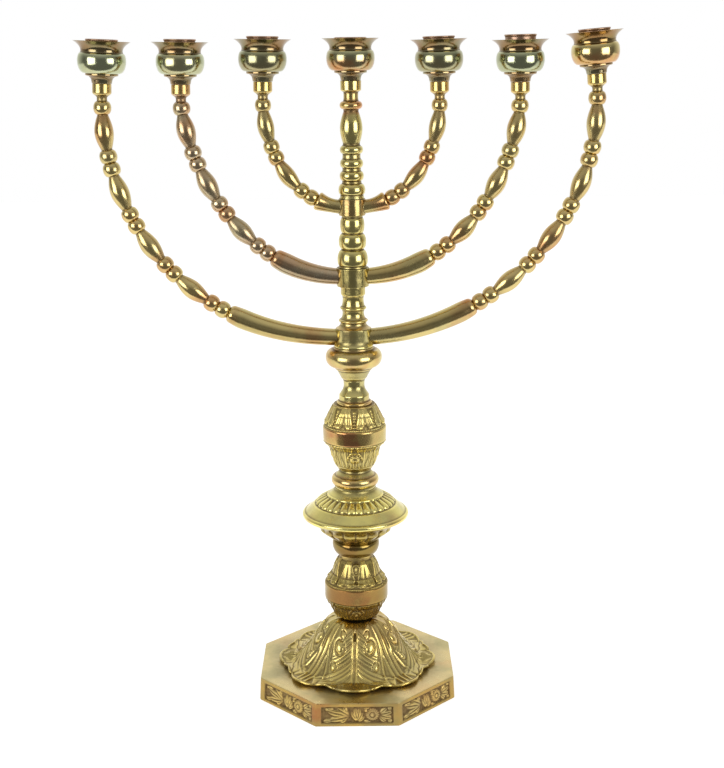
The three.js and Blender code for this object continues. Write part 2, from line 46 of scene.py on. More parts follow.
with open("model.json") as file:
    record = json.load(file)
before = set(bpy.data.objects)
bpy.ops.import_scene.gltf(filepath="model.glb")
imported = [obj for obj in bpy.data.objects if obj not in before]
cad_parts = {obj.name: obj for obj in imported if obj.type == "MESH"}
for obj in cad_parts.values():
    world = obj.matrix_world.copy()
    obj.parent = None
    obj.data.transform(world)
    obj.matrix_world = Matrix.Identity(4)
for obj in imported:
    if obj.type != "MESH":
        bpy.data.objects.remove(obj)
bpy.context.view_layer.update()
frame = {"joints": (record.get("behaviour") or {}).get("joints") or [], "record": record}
RECORD = frame["record"]
SLOT_OF = {row["node"]: row["material_slot"] for row in RECORD["subparts"]}
BODY_OF = {node: body for body, nodes in RECORD["behaviour"]["bodies"].items() for node in nodes}
JOINTS = {joint["name"]: joint for joint in frame["joints"]}

MM = 0.001
FRONT = -math.pi / 2
TURN = 2 * math.pi

# How finely the surfaces are divided
LINE_STEP = 0.45 * MM
CARVED_STEP = 0.4 * MM
ROD_STEP = 4 * MM
EDGE_ROUND = 0.5 * MM
STEM_COLUMNS = 80
CUP_COLUMNS = 88
ARM_COLUMNS = 40
KNOP_COLUMNS = 432
DISC_COLUMNS = 360
FOOT_COLUMNS = 520
ROD_COLUMNS = 32
NUT_COLUMNS = 72
NUT_ROWS = 12

# How far round a point wear and dirt reach, and the depth at which they are full
WEAR_REACH = 1.1 * MM
WEAR_DEPTH = 0.16 * MM

# Clearances and hidden sizes that the frame's solids also have
RUNNING_GAP = 0.3 * MM
ROD_HOLE = 4.4 * MM
ROD_END_ROUND = 0.5 * MM
WASHER_EDGE = 0.3 * MM
NUT_CHAMFER = 0.9 * MM
SCREW_HOLE = 3.2 * MM
SCREW_RADIUS = 2.8 * MM
SCREW_DEPTH = 8 * MM
SCREW_POLE = 0.3 * MM
SCREW_HEAD_RADIUS = 4.9 * MM
SCREW_HEAD_HEIGHT = 2.4 * MM
SCREW_HEAD_GAP = 0.1 * MM

OCTAGON = 8
BASE_WALL = 5 * MM
BASE_TOP = 4 * MM
BASE_DRAFT = 1.2 * MM
BASE_EDGE = 0.35 * MM
BASE_TOP_RINGS = (0.8 * MM, 3 * MM, 9 * MM, 18 * MM, 30 * MM)
BASE_WARM_TURN = math.radians(24)
BASE_WARM_HEIGHT = 9 * MM
BASE_WARM_SPREAD = 0.2
BASE_WARM_SPOT = 0.65
BASE_WARM_REST = 0.03
BASE_PANEL_WARM = 0.25
BASE_FRAME_SHADE = 0.75
BASE_PANEL_SHADE = 0.25
BASE_PANEL_DIRT = 0.9
BASE_GILT_EDGE = 0.8 * MM
CORNER_WEAR = 0.25 * MM
CORNER_REACH = 1.2 * MM
PANEL_SIDE_MARGIN = 4.6 * MM
PANEL_TOP_MARGIN = 3.2 * MM
PANEL_BOTTOM_MARGIN = 2.6 * MM
PANEL_BEVEL = 0.35 * MM
PANEL_WALL = 0.4 * MM
PANEL_COLUMNS = 150
PANEL_ROWS = 40

FOOT_WALL = 3 * MM
FOOT_TOP_RADIUS = 19 * MM
FOOT_SHOULDER_RADIUS = 29.5 * MM
FOOT_WAIST_RADIUS = 41 * MM
FOOT_INNER_RIM = 52 * MM
FOOT_NOTCH_RADIUS = 63 * MM
FOOT_SMALL_LOBE = 4.2 * MM
FOOT_EDGE = 1.6 * MM
FOOT_TIP_LIFT = 2.6 * MM
FOOT_ROUNDING = 7 * MM
FOOT_SKIRT_ROWS = 40
FOOT_TURN = math.radians(-3)
FOOT_LEAF_SHARE = 0.83
FOOT_LEAF_NARROWS = 0.17
# The veins of the leaves of the foot, in millimetres
FOOT_VEIN_SPREAD = 0.022
FOOT_VEIN_POWER = 2.2
FOOT_VEIN_PITCH = 4.1
# Each lobe of half a leaf: where its first and last veins leave the stalk, how far out it reaches, and
# how full it is
FOOT_LOBES = ((0, 11, 15.5, 0.5), (12.5, 25, 22, 0.45), (26.5, 40, 40, 0.25), (41.5, 80, 60, 0.1))
# Buds and curls at the ends of the lobes: side, way down, half width, half length and height
FOOT_BUDS = ((14.3, 25.5, 4.4, 6.4, 1.5), (20, 43.5, 2.8, 3.8, 1.2), (11, 13.5, 2.4, 3.6, 0.8))
# The rest of the foot's relief, in millimetres. A zone is its start and end on the way down and how soft
# they are. The groove has a place inside the leaf's edge and a width, the collar a side and a width, and the
# drop a half width, a way down and a half length.
FOOT_SOFT = 1.6
FOOT_GROUND_END = 60
FOOT_VEIN_ZONE = (6, 60, 12)
FOOT_BOUND_ZONE = (2, 56, 10)
FOOT_BOUND_WIDTH = 0.9
FOOT_GROOVE = (2.4, 1.2)
FOOT_COLLAR = (10, 2.5)
FOOT_COLLAR_ZONE = (-1, 11, 5)
FOOT_FLUTE_GAP = 5
FOOT_FLUTE_WIDTH = 1.6
FOOT_STALK_SIDE = 2
FOOT_STALK_WIDTH = 0.85
FOOT_STALK_REACH = 3.4
FOOT_DROP = (1.4, 15, 4.2)
FOOT_FAN_REACH = 11
FOOT_FAN_PITCH = 1.5
FOOT_LIP_WIDTH = 1.2
# How high each part of the relief stands, as a share of its depth
FOOT_RISE = dict(ground=0.3, vein=0.36, flute=0.8, bound=0.7, collar=0.5, stalk=0.8, fan=0.4, lip=0.6)

TIP_COLLAR_RADIUS = 8 * MM
TIP_COLLAR_ROUND = 3.8 * MM
TIP_COLLAR_STRAIGHT = 7.6 * MM
ARM_NECK_RADIUS = 4.3 * MM
ARM_NECK_LENGTH = 3 * MM
WAIST_RADIUS = 4.4 * MM
ARM_SEAT = 0.12 * MM
BEND_ROUNDING = 4 * MM
BEND_STEPS = 160
SHOULDER_SHARE = 0.92
# Sizes of each pair of arms, in millimetres, and how many olives an arm has
ARCHES = {
    "outer": dict(
        arc_start=4, straight=31, bead_radius=7.6, bead_length=11.1, olive_radius=8.1, olive_length=30,
        tube_radius=7.2, shoulder_radius=8.9, shoulder_length=5, swell_length=9, tube_dip=0,
    ),
    "middle": dict(
        arc_start=4, straight=14.4, bead_radius=7.5, bead_length=10.6, olive_radius=8, olive_length=27.5,
        tube_radius=6.9, shoulder_radius=9, shoulder_length=5, swell_length=9, tube_dip=0,
    ),
    "inner": dict(
        arc_start=6, straight=16.5, bead_radius=6.9, bead_length=10, olive_radius=7.1, olive_length=25.5,
        tube_radius=6.6, shoulder_radius=8.1, shoulder_length=0.8, swell_length=1.2, tube_dip=1.3,
    ),
}
OLIVES = {"outer": 4, "middle": 3, "inner": 2}
# Blush of the arms: an amount, and the start, end and softness of its zone, first in millimetres behind the
# shoulder and then as shares of the length
ARM_BLUSH_BEHIND = (0.25, 2, 9, 4)
ARM_BLUSH_BETWEEN = (0.3, 0.45, 0.52, 0.02)
ARM_SHOULDER_FADE = 6
# A painted dark reflection along the tubes below their middle: how dark, and where: a zone of the cosine of
# the angle round the tube
ARM_PAINTED_DARK_BAND = 0.4
ARM_DARK_BAND_ZONE = (-0.75, -0.1, 0.25)
HUBS = {"outer": "hub_low", "middle": "hub_middle", "inner": "hub_top"}
# Each arm: its pair, the joint of its cup, the powers of its bend to the side and below, which are both 2
# for a true ellipse, how warm and how much darker it is, and its metal
ARMS = {
    "arm_outer_left": ("outer", "cup_1_turn", (2.29, 1.87), 0.1, 0.0, "arm"),
    "arm_middle_left": ("middle", "cup_2_turn", (2.17, 1.63), 0.2, 0.0, "grey_arm"),
    "arm_inner_left": ("inner", "cup_3_turn", (2, 2), 0.15, 0.1, "arm"),
    "arm_inner_right": ("inner", "cup_5_turn", (2, 2), 0.2, 0.05, "arm"),
    "arm_middle_right": ("middle", "cup_6_turn", (2.14, 1.72), 0.12, 0.0, "arm"),
    "arm_outer_right": ("outer", "cup_7_turn", (1.96, 1.93), 0.15, 0.0, "arm"),
}

CUPS = 7
BOWL_LIP = 0.9 * MM
BOWL_DISH = 3 * MM
BOWL_DISH_WIDTH = 5 * MM
BOWL_FLOOR = 4.2 * MM
LINER_BORE = 13.3 * MM
LINER_LIP = 1.6 * MM
LINER_LIP_ROWS = 12
LINER_SHOULDER = 0.7 * MM
LINER_WALL = 1.2 * MM
LINER_MOUTH = 0.3 * MM
LINER_EDGE = 0.4 * MM
LINER_FLOOR = 1 * MM
# Tints of the cups: their feet's warmth and painted shade under the bowls, and on the bowls a warm rim with
# painted shade, a zone below that may be warm, and the inside, whose shade is a share of the outside's. Zones
# are shares of the height
CUP_FOOT_WARM = 0.4
CUP_FOOT_SHADE = 0.6
RIM_ZONE = (0.66, 1.2, 0.1)
RIM_WARM = 0.45
RIM_SHADE = 0.8
BELLY_ZONE = (-0.2, 0.35, 0.3)
INSIDE_SHADE = 0.4
# The cups that differ from the rest: how warm below, how golden and how much darker
CUP_TINTS = {3: (0.1, 0, 0.4), 4: (0.75, 0.15, 0.2), 5: (0.1, 0, 0.35), 6: (0, 0, 0.15), 7: (0.6, 0.6, 0)}

# Outlines of the turnings from the foot up. Each row is a shape, its share of the height, the share of
# the radius that it ends on, and how far it swells, as a share of the radius.
OUTLINE_SHARES = {
    "lower_knop": (0.48, [
        ("cone", 0.05, 0.69), ("swell", 0.19, 0.86, 0.02), ("cone", 0.03, 0.95), ("cone", 0.065, 1),
        ("cone", 0.22, 1), ("cone", 0.06, 0.92), ("cone", 0.04, 0.79), ("swell", 0.245, 0.62, 0.015),
        ("cone", 0.065, 0.51), ("cone", 0.035, 0.505),
    ]),
    "lower_ring": (0.72, [("bead", 1, 0.94, 0.17)]),
    "drip_disc": (0.41, [
        ("cone", 0.04, 0.445), ("swell", 0.18, 0.68, 0.01), ("flare", 0.22, 0.93),
        ("bead", 0.11, 0.95, 0.06), ("cone", 0.16, 0.757), ("swell", 0.15, 0.53, 0.03),
        ("cone", 0.01, 0.52), ("cove", 0.13, 0.385),
    ]),
    "upper_ring": (0.85, [
        ("cone", 0.14, 0.84), ("bead", 0.52, 0.85, 0.155), ("cone", 0.24, 0.65), ("cone", 0.1, 0.63),
    ]),
    "upper_knop": (0.53, [
        ("cone", 0.08, 0.64), ("swell", 0.26, 0.8, 0.02), ("cone", 0.06, 0.9), ("cone", 0.03, 0.99),
        ("cone", 0.22, 1), ("cone", 0.06, 0.94), ("cone", 0.09, 0.83), ("swell", 0.12, 0.75, 0.01),
        ("cone", 0.08, 0.65),
    ]),
    "stem_neck": (1, [
        ("cone", 0.1, 1), ("cone", 0.05, 0.87), ("cone", 0.24, 0.85), ("cove", 0.4, 0.59),
        ("cone", 0.21, 0.61),
    ]),
    "branch_collar": (0.39, [
        ("ogee", 0.1, 0.47), ("cone", 0.22, 0.61), ("cone", 0.03, 0.68), ("cone", 0.05, 0.69),
        ("cone", 0.02, 0.74), ("bead", 0.5, 0.8, 0.23), ("cone", 0.02, 0.71), ("cone", 0.06, 0.7),
    ]),
    "hub_low": (1, [("cone", 0.08, 1), ("cove", 0.26, 0.9), ("cone", 0.66, 0.9)]),
    "stem_low": (1, [
        ("cove", 0.1, 0.74), ("cone", 0.05, 0.72), ("bead", 0.07, 0.72, 0.11), ("cone", 0.04, 0.66),
        ("swell", 0.19, 0.65, -0.05), ("bead", 0.07, 0.66, 0.09), ("swell", 0.24, 0.6, -0.03),
        ("cone", 0.05, 0.69), ("cone", 0.19, 0.69),
    ]),
    "hub_middle": (1, [("cone", 1, 1)]),
    "stem_middle": (0.93, [
        ("cone", 0.04, 0.9), ("bead", 0.3, 0.74, 0.18), ("cone", 0.02, 0.72), ("bead", 0.29, 0.7, 0.2),
        ("cone", 0.02, 0.68), ("bead", 0.29, 0.68, 0.12), ("cone", 0.04, 0.7),
    ]),
    "hub_top": (1, [("cone", 1, 1)]),
    "stem_top": (0.93, [
        ("cone", 0.034, 0.85), ("bead", 0.094, 0.74, 0.205), ("cone", 0.026, 0.7),
        ("bead", 0.081, 0.7, 0.2), ("cone", 0.03, 0.68), ("bead", 0.073, 0.68, 0.18),
        ("cone", 0.047, 0.66), ("bead", 0.068, 0.66, 0.2), ("cone", 0.017, 0.62),
        ("swell", 0.274, 0.55, 0.25), ("cone", 0.017, 0.57), ("bead", 0.068, 0.57, 0.27),
        ("cone", 0.02, 0.54), ("cone", 0.055, 0.54), ("cone", 0.015, 0.76), ("cone", 0.081, 0.77),
    ]),
    "cup_foot": (0.61, [("cone", 0.3, 0.64), ("flare", 0.42, 0.82), ("cone", 0.06, 1), ("cone", 0.22, 1)]),
    "cup_bowl": (0.62, [("bead", 0.64, 0.735, 0.165), ("cone", 0.07, 0.73), ("flare", 0.29, 1)]),
}

# The knops. Zones, the beading and the band are shares of the height. The leaves keep to a straight line
# where the metal behind them steps back: two points of height and radius, as shares. A hanging leaf has its
# width and its neck's, as shares, and the depths of its notch and ribs. Shades are painted shade, darker
# towards the bottom and darkest on the lower knop under the disc: shares of the height and the shade at each.
# The band is warm by an amount, round an angle from the front, and so far to each side.
KNOPS = {
    "lower_knop": dict(
        leaf_zone=(0.955, 0.6),
        leaf_back=((0.6, 0.93), (0.7, 0.79)),
        leaf=(0.95, 0.42, 0.1, 0.08),
        beading=0.58,
        band=(0.335, 0.565),
        tongue_zone=(0.04, 0.325),
        shades=((0, 0.27, 0.335, 0.56, 0.6, 1), (0.95, 0.95, 0.9, 0.85, 0.6, 0.5)),
        warmth=(0.6, -0.3, 1.2),
    ),
    "upper_knop": dict(
        leaf_zone=(0.985, 0.705),
        leaf_back=((0.68, 0.975), (0.87, 0.8)),
        leaf=(0.92, 0.62, 0.24, 0.3),
        beading=0.69,
        band=(0.455, 0.67),
        tongue_zone=(0.07, 0.445),
        shades=((0, 0.1, 0.44, 0.46, 0.67, 0.7, 1), (0.4, 0.2, 0.1, 0.2, 0.2, 0, 0)),
        warmth=(1.0, -0.25, 0.9),
    ),
}
# Ribs inside the sides of a hanging leaf: place across, width and height
LEAF_RIBS = ((0.84, 0.08, 1), (0.6, 0.07, 0.6), (0.38, 0.07, 0.6))
# The knops' small ornament: the number of beads, and sizes in millimetres
BEADS = 96
BEAD_RADIUS = 0.8
STRING_PITCH = 2.7
STRING_BEAD = 1.25
ROSETTE_RADIUS = 4.6
TONGUE_RIB = 0.75
# The level that the relief of the knops is counted from, so that it sinks as well as rises
KNOP_GROUND = 0.6
BUD_OVAL = (4.2, 6)
BUD_KERNEL = (1.6, 3.6)
SPRIG_PLACE = (0.0, -11.5)
SPRIG_LEAF = (4.4, 1.3)

GADROON_ZONE_SHARES = (0.71, 0.862)
GADROONS = 30
LOWER_TONGUE_SHARES = (0.1, 0.34)
LOWER_TONGUES = 18
# Painted shade under the disc: shares of the height and the shade at each
DISC_SHADES = ((0, 0.36, 0.44, 0.5), (0.8, 0.8, 0.35, 0))
# Warm parts of the turnings of the stem: from and to, as shares of the height, and how warm
WARM_SHARES = {
    "upper_ring": (0.15, 0.75, 0.35),
    "branch_collar": (0.35, 1.0, 0.4),
    "stem_top": (0.72, 0.84, 0.6),
    "stem_neck": (0.0, 0.2, 0.35),
    "stem_low": (0.0, 0.3, 0.3),
    "hub_top": (0.0, 1.0, 0.45),
    "lower_ring": (0.0, 1.2, 0.1),
}
# Darker parts in the same way: painted shade on the ring under the disc, and a darker tone on the hubs and
# the low stem
SHADE_SHARES = {
    "lower_ring": (0.0, 1.2, 1.0),
    "hub_middle": (0.0, 1.0, 0.35),
    "hub_top": (0.0, 1.0, 0.25),
    "stem_low": (0.35, 1.0, 0.2),
}


def length_property(name, description, default):
    """A length for the panel."""
    return FloatProperty(name=name, description=description, default=default, unit="LENGTH")


class CandelabraSizes(bpy.types.PropertyGroup):
    """Depths of the ornament, and the width of the floor."""

    leaf_depth: length_property("Leaf depth", "How far the leaves on the knops stand proud", 1.15 * MM)
    foot_relief: length_property("Foot relief", "Height of the stalks and veins on the foot", 1.5 * MM)
    gadroon_depth: length_property("Gadroon depth", "Depth of the grooves on the disc", 1.1 * MM)
    panel_depth: length_property("Panel depth", "How deep the panels of the base are sunk", 1.6 * MM)
    floor_size: length_property("Floor size", "Width of the studio floor", 8.0)


def colour_property(name, description, default):
    """A linear RGB colour for the panel."""
    return FloatVectorProperty(
        name=name, description=description, default=default, subtype="COLOR", min=0.0, max=1.0
    )


class CandelabraColours(bpy.types.PropertyGroup):
    """Colours of the metals and of the studio."""

    brass: colour_property("Brass", "Greenish brass of the stem", (0.66, 0.56, 0.21))
    arm: colour_property("Arm brass", "Golden brass of the arms", (0.66, 0.53, 0.22))
    grey_arm: colour_property("Grey arm brass", "The dullest arm", (0.55, 0.46, 0.31))
    cast: colour_property("Cast brass", "Chased castings", (0.7, 0.57, 0.19))
    disc: colour_property("Disc brass", "Greenish yellow brass of the disc", (0.81, 0.71, 0.24))
    khaki: colour_property("Khaki brass", "Dull top of the base", (0.62, 0.5, 0.24))
    cup: colour_property("Cup brass", "Greenish brass of the cups", (0.44, 0.47, 0.3))
    liner: colour_property("Liner brass", "Reddish brass of the liners", (0.42, 0.27, 0.19))
    copper: colour_property("Copper blush", "Warm patches", (0.55, 0.28, 0.12))
    gilt: colour_property("Gilt", "Golden frame of the base and collars", (0.68, 0.5, 0.16))
    tarnish: colour_property("Tarnish", "Olive patches", (0.42, 0.39, 0.2))
    grime: colour_property("Grime", "Dirt in the recesses", (0.12, 0.075, 0.035))
    steel: colour_property("Steel", "Rod, nut, washer and screws", (0.45, 0.46, 0.47))
    floor: colour_property("Floor", "Studio floor", (0.8, 0.8, 0.8))


# Shapes of a moulding: radius and height for t from 0 to 1


def hump(t):
    """Half a sine wave."""
    return np.sin(np.pi * t)


def ease(t):
    """A cosine ramp from 0 to 1."""
    return (1 - np.cos(np.pi * t)) / 2


def quarter(t):
    """A quarter of a sine wave from 0 to 1."""
    return np.sin(np.pi * t / 2)


MOULDINGS = {
    "cone": lambda a, b, swell, t: (a + (b - a) * t, t),
    "swell": lambda a, b, swell, t: (a + (b - a) * t + swell * hump(t), t),
    "bead": lambda a, b, swell, t: (a + (b - a) * t + swell * hump(t), ease(t)),
    "ogee": lambda a, b, swell, t: (a + (b - a) * ease(t), t),
    "flare": lambda a, b, swell, t: (a + (b - a) * t * t, t),
    "cove": lambda a, b, swell, t: (a + (b - a) * quarter(t), t),
    "round": lambda a, b, swell, t: (a + (b - a) * quarter(t), 1 - quarter(1 - t)),
}
MOULDING_STEPS = {"cone": 2, "swell": 24, "bead": 24, "ogee": 16, "flare": 16, "cove": 16, "round": 16}


def moulded(start, rows):
    """The line of a row of mouldings, as points of radius and way. A row is a shape, its span, the radius
    that it ends on and its swell."""
    radii = [np.array([start])]
    ways = [np.array([0.0])]
    for shape, span, end, *swell in rows:
        t = np.linspace(0, 1, MOULDING_STEPS[shape] + 1)[1:]
        radius, way = MOULDINGS[shape](radii[-1][-1], end, swell[0] if swell else 0, t)
        radii.append(radius)
        ways.append(ways[-1][-1] + way * span)
    return np.stack([np.concatenate(radii), np.concatenate(ways)], axis=1)


def running_mean(line, count):
    """The line with each point replaced by a bell-weighted mean of count points on each side. Both ends
    are continued by turning the line through its end point, so they stay where they are."""
    if count < 1:
        return line
    head = 2 * line[:1] - line[1 : count + 1][::-1]
    tail = 2 * line[-1:] - line[-count - 1 : -1][::-1]
    padded = np.concatenate([head, line, tail])
    bell = np.hanning(2 * count + 3)[1:-1]
    bell /= bell.sum()
    return np.stack([np.convolve(column, bell, "valid") for column in padded.T], axis=1)


def way_along(line):
    """Distance along a line from its start."""
    return np.concatenate([[0], np.cumsum(np.linalg.norm(np.diff(line, axis=0), axis=1))])


def fine_line(points, step, rounding):
    """The line with a point every step, its corners rounded over a length of rounding each way."""
    way = way_along(points)
    at = np.linspace(0, way[-1], max(int(way[-1] / step), 4) + 1)
    line = np.stack([np.interp(at, way, column) for column in points.T], axis=1)
    return running_mean(line, round(rounding / step))


def outline(key, radius, height, foot, step=LINE_STEP):
    """The outer line of a turning, as points of radius and height in metres."""
    start, rows = OUTLINE_SHARES[key]
    line = moulded(start, rows) * [radius, height] + [0, foot]
    return fine_line(line, step, EDGE_ROUND)


def measure(node):
    """Foot, top and greatest radius of a node that is turned about Z."""
    low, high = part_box(node)
    return low.z, high.z, (high.x - low.x) / 2


def turned(node, step=LINE_STEP):
    """The outer line of a node turned about Z, and each point's share of the height, as a column."""
    foot, top, radius = measure(node)
    line = outline(node, radius, top - foot, foot, step)
    return line, ((line[:, 1] - foot) / (top - foot))[:, None]


def line_normals(line):
    """Unit normals to the right of a line of radius and height that runs up."""
    along = np.gradient(line, axis=0)
    along /= np.linalg.norm(along, axis=1, keepdims=True)
    return np.stack([along[:, 1], -along[:, 0]], axis=1)


def turns(columns):
    """Angles of the columns from the front, anticlockwise from above."""
    return np.arange(columns) * TURN / columns


def turn_from(turn, centre):
    """How far an angle lies from another, the short way round."""
    return np.abs((turn - centre + math.pi) % TURN - math.pi)


def revolve(line, columns, lift=None, proud=0.0):
    """The line turned round Z: the point at angle a is (r cos a, r sin a, z). lift moves each point of the
    grid out along the line's normal, and proud moves it away from the axis."""
    angle = turns(columns)[None, :] + FRONT
    out = np.zeros((len(line), columns)) if lift is None else lift
    normal = line_normals(line)
    radius = line[:, :1] + out * normal[:, :1] + proud
    height = line[:, 1:] + out * normal[:, 1:]
    return np.stack([radius * np.cos(angle), radius * np.sin(angle), height], axis=-1)


def circle(radius, height, columns):
    """A row of points round Z."""
    return revolve(np.array([[radius, height], [radius, height + MM]]), columns)[0]


def blur(grid, axis, count, wrap):
    """Mean of count neighbours on each side along an axis. The ends are repeated unless they wrap."""
    if count < 1:
        return grid
    pad = [(0, 0)] * grid.ndim
    pad[axis] = (count + 1, count)
    wide = np.pad(grid, pad, mode="wrap" if wrap else "edge")
    total = np.cumsum(wide, axis=axis)
    span = 2 * count + 1
    size = grid.shape[axis]
    upper = np.take(total, np.arange(span, span + size), axis=axis)
    lower = np.take(total, np.arange(0, size), axis=axis)
    return (upper - lower) / span


def wear(points):
    """Recess and ridge, 0 to 1 each: how far the points lie inside or outside the grid blurred over
    WEAR_REACH, measured along the normals and divided by WEAR_DEPTH."""
    along = np.gradient(points, axis=0)
    across = (np.roll(points, -1, axis=1) - np.roll(points, 1, axis=1)) / 2
    normal = np.cross(across, along)
    normal /= np.maximum(np.linalg.norm(normal, axis=-1, keepdims=True), 1e-12)
    row_step = max(np.median(np.linalg.norm(along, axis=-1)), 1e-6)
    column_step = max(np.median(np.linalg.norm(across, axis=-1)), 1e-6)
    soft = points
    for _ in range(2):
        soft = blur(soft, 0, round(WEAR_REACH / row_step), False)
        soft = blur(soft, 1, round(WEAR_REACH / column_step), True)
    # A turned surface bends away from its blurred copy everywhere, and that even part is taken off.
    sunk = ((soft - points) * normal).sum(axis=-1)
    sunk -= np.median(sunk)
    return np.clip(sunk / WEAR_DEPTH, 0, 1), np.clip(-sunk / WEAR_DEPTH, 0, 1)


class Grid:
    """Rows of points round a piece, with marks for its material: recess, ridge, warm, gilt, shade, which is
    partly painted shade, and the way along the rows."""

    def __init__(self, points, warm=0.0, gilt=0.0, shade=0.0):
        self.points = points
        recess, ridge = wear(points)
        marks = dict(recess=recess, ridge=ridge, warm=warm, gilt=gilt, shade=shade)
        marks["way"] = way_along(points[:, 0])[:, None]
        self.marks = {key: np.broadcast_to(mark, recess.shape).copy() for key, mark in marks.items()}

    def extend(self, before=(), after=()):
        """Adds hidden rows of points before and after. They are all recess."""
        columns = self.points.shape[1]
        before, after = (np.reshape(rows, (-1, columns, 3)) for rows in (before, after))
        for name, mark in self.marks.items():
            hidden = 1.0 if name == "recess" else 0.0
            start, end = (np.full((len(rows), columns), hidden) for rows in (before, after))
            self.marks[name] = np.concatenate([start, mark, end])
        self.points = np.concatenate([before, self.points, after])
        return self

    def placed(self, matrix):
        """Moves every point by a 4 by 4 matrix."""
        matrix = np.array(matrix)
        self.points = self.points @ matrix[:3, :3].T + matrix[:3, 3]
        return self


def put(name, data):
    """A new object of the scene."""
    item = bpy.data.objects.new(name, data)
    bpy.context.scene.collection.objects.link(item)
    return item


def build(node, grid, material, loop=False):
    """The closed mesh that stands for a CAD node, over a grid. Columns close on themselves. Rows close on
    themselves too if loop is set, and otherwise a fan to its middle closes each end. Faces point out where
    the columns turn anticlockwise about the way that the rows run."""
    rows, columns = grid.points.shape[:2]
    corner = np.arange(rows * columns).reshape(rows, columns)
    if loop:
        corner = np.vstack([corner, corner[:1]])
    beside = np.roll(corner, -1, axis=1)
    quads = np.stack([corner[:-1], beside[:-1], beside[1:], corner[1:]], axis=-1).reshape(-1, 4)
    vertices = grid.points.reshape(-1, 3)
    marks = {key: mark.ravel() for key, mark in grid.marks.items()}
    corners = quads.ravel()
    sizes = np.full(len(quads), 4)
    if not loop:
        middle = len(vertices)
        vertices = np.concatenate([vertices, grid.points[[0, -1]].mean(axis=1)])
        marks = {key: np.concatenate([mark, mark[[0, -1]]]) for key, mark in marks.items()}
        foot = np.stack([np.full(columns, middle), beside[0], corner[0]], axis=1)
        top = np.stack([np.full(columns, middle + 1), corner[-1], beside[-1]], axis=1)
        corners = np.concatenate([corners, foot.ravel(), top.ravel()])
        sizes = np.concatenate([sizes, np.full(2 * columns, 3)])
    starts = np.concatenate([[0], np.cumsum(sizes)[:-1]])
    mesh = bpy.data.meshes.new(node)
    mesh.vertices.add(len(vertices))
    mesh.vertices.foreach_set("co", vertices.astype(np.float32).ravel())
    mesh.loops.add(len(corners))
    mesh.loops.foreach_set("vertex_index", corners.astype(np.int32))
    mesh.polygons.add(len(sizes))
    mesh.polygons.foreach_set("loop_start", starts.astype(np.int32))
    mesh.polygons.foreach_set("use_smooth", np.ones(len(sizes), bool))
    for key, mark in marks.items():
        attribute = mesh.attributes.new(key, "FLOAT", "POINT")
        attribute.data.foreach_set("value", mark.astype(np.float32))
    mesh.update(calc_edges=True)
    mesh.materials.append(material)
    piece = put(node, mesh)
    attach(piece, BODY_OF[node])
    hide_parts(node)


def drilled(node, material, line, columns, bore, lift=None, proud=0.0, **tints):
    """A turning with a bore right through it, as a closed loop of rows."""
    inset = 0.6 * EDGE_ROUND
    (foot_radius, foot), (top_radius, top) = line[[0, -1]]
    before = [circle(bore, foot, columns), circle(foot_radius - inset, foot, columns)]
    after = [circle(top_radius - inset, top, columns), circle(bore, top, columns)]
    grid = Grid(revolve(line, columns, lift, proud), **tints)
    build(node, grid.extend(before, after), material, loop=True)


# Ornament: heights over lengths in millimetres, or shares, across and along a motif


def smooth_step(x):
    """3x^2 - 2x^3 between 0 and 1, level outside."""
    x = np.clip(x, 0, 1)
    return x * x * (3 - 2 * x)


def ridge_line(offset, width):
    """A bell-shaped ridge along the line where offset is 0."""
    return np.exp(-((offset / width) ** 2))


def window(x, start, end, soft):
    """1 between start and end, falling to 0 over soft at both."""
    return smooth_step((x - start) / soft + 0.5) * smooth_step((end - x) / soft + 0.5)


def pillow(q):
    """A round-topped swelling: the square root of 1 - q^2 inside q = 1."""
    return np.sqrt(np.clip(1 - q * q, 0, 1))


def across(turn, count, shift=0.0):
    """Place across the nearest of count motifs round the piece, from -1 to 1. One faces the front."""
    return ((turn * count / TURN + shift + 0.5) % 1) * 2 - 1


def hanging_leaf(x, v, half, neck, notch, ribs):
    """A bell-shaped leaf that hangs from v = 0, where its width is the neck's share, and is widest near
    v = 0.8. Its lower edge, near v = 1, is notched in the middle, and both its tips curl out. Ribs run
    inside its sides. Returns the height and the mask of the leaf."""
    width = half * (neck + (1 - neck) * smooth_step(v / 0.8))
    q = np.abs(x) / width
    edge = 1 - notch * ridge_line(q, 0.25) - 0.1 * q**4
    inside = smooth_step((1 - q) / 0.16) * smooth_step((edge - v) / 0.06 + 0.5) * (v > -0.1)
    body = 0.6 + 0.25 * smooth_step(v) - 0.3 * ridge_line(q, 0.13) * smooth_step(v / 0.5)
    seams = ribs * sum(tall * ridge_line(q - place, wide) for place, wide, tall in LEAF_RIBS)
    curl = 0.6 * ridge_line((edge - v) / 0.1 - 0.8, 0.8) * ridge_line(q - 0.6, 0.35)
    return body + seams + curl, inside


def pointed_leaf(x, v, half):
    """A leaf that is widest at v = 0 and comes to a point at v = 1, with a rim along its edge and a rib."""
    width = half * np.clip(1 - v, 0, 1) ** 0.55 + 0.2
    q = np.abs(x) / width
    inside = smooth_step((1 - q) / 0.12)
    rim = 0.5 * ridge_line(q - 0.86, 0.13)
    rib = 0.45 * ridge_line(x, TONGUE_RIB)
    return (0.3 + rim + rib * (q < 1)) * inside * window(v, 0, 1, 0.08)


def petal(x, y, place, angle, length, width):
    """One petal or leaf: a pointed oval swelling with a groove down its middle, from place outwards at an
    angle in degrees."""
    c = math.cos(math.radians(angle))
    s = math.sin(math.radians(angle))
    u = ((x - place[0]) * c + (y - place[1]) * s) / length
    w = (-(x - place[0]) * s + (y - place[1]) * c) / width
    half = np.sqrt(np.sin(np.pi * np.clip(u, 0, 1)))
    shape = pillow(w / np.maximum(half, 1e-3)) * half
    return np.where((u > 0) & (u < 1), shape * (1 - 0.4 * ridge_line(w, 0.2)), 0)


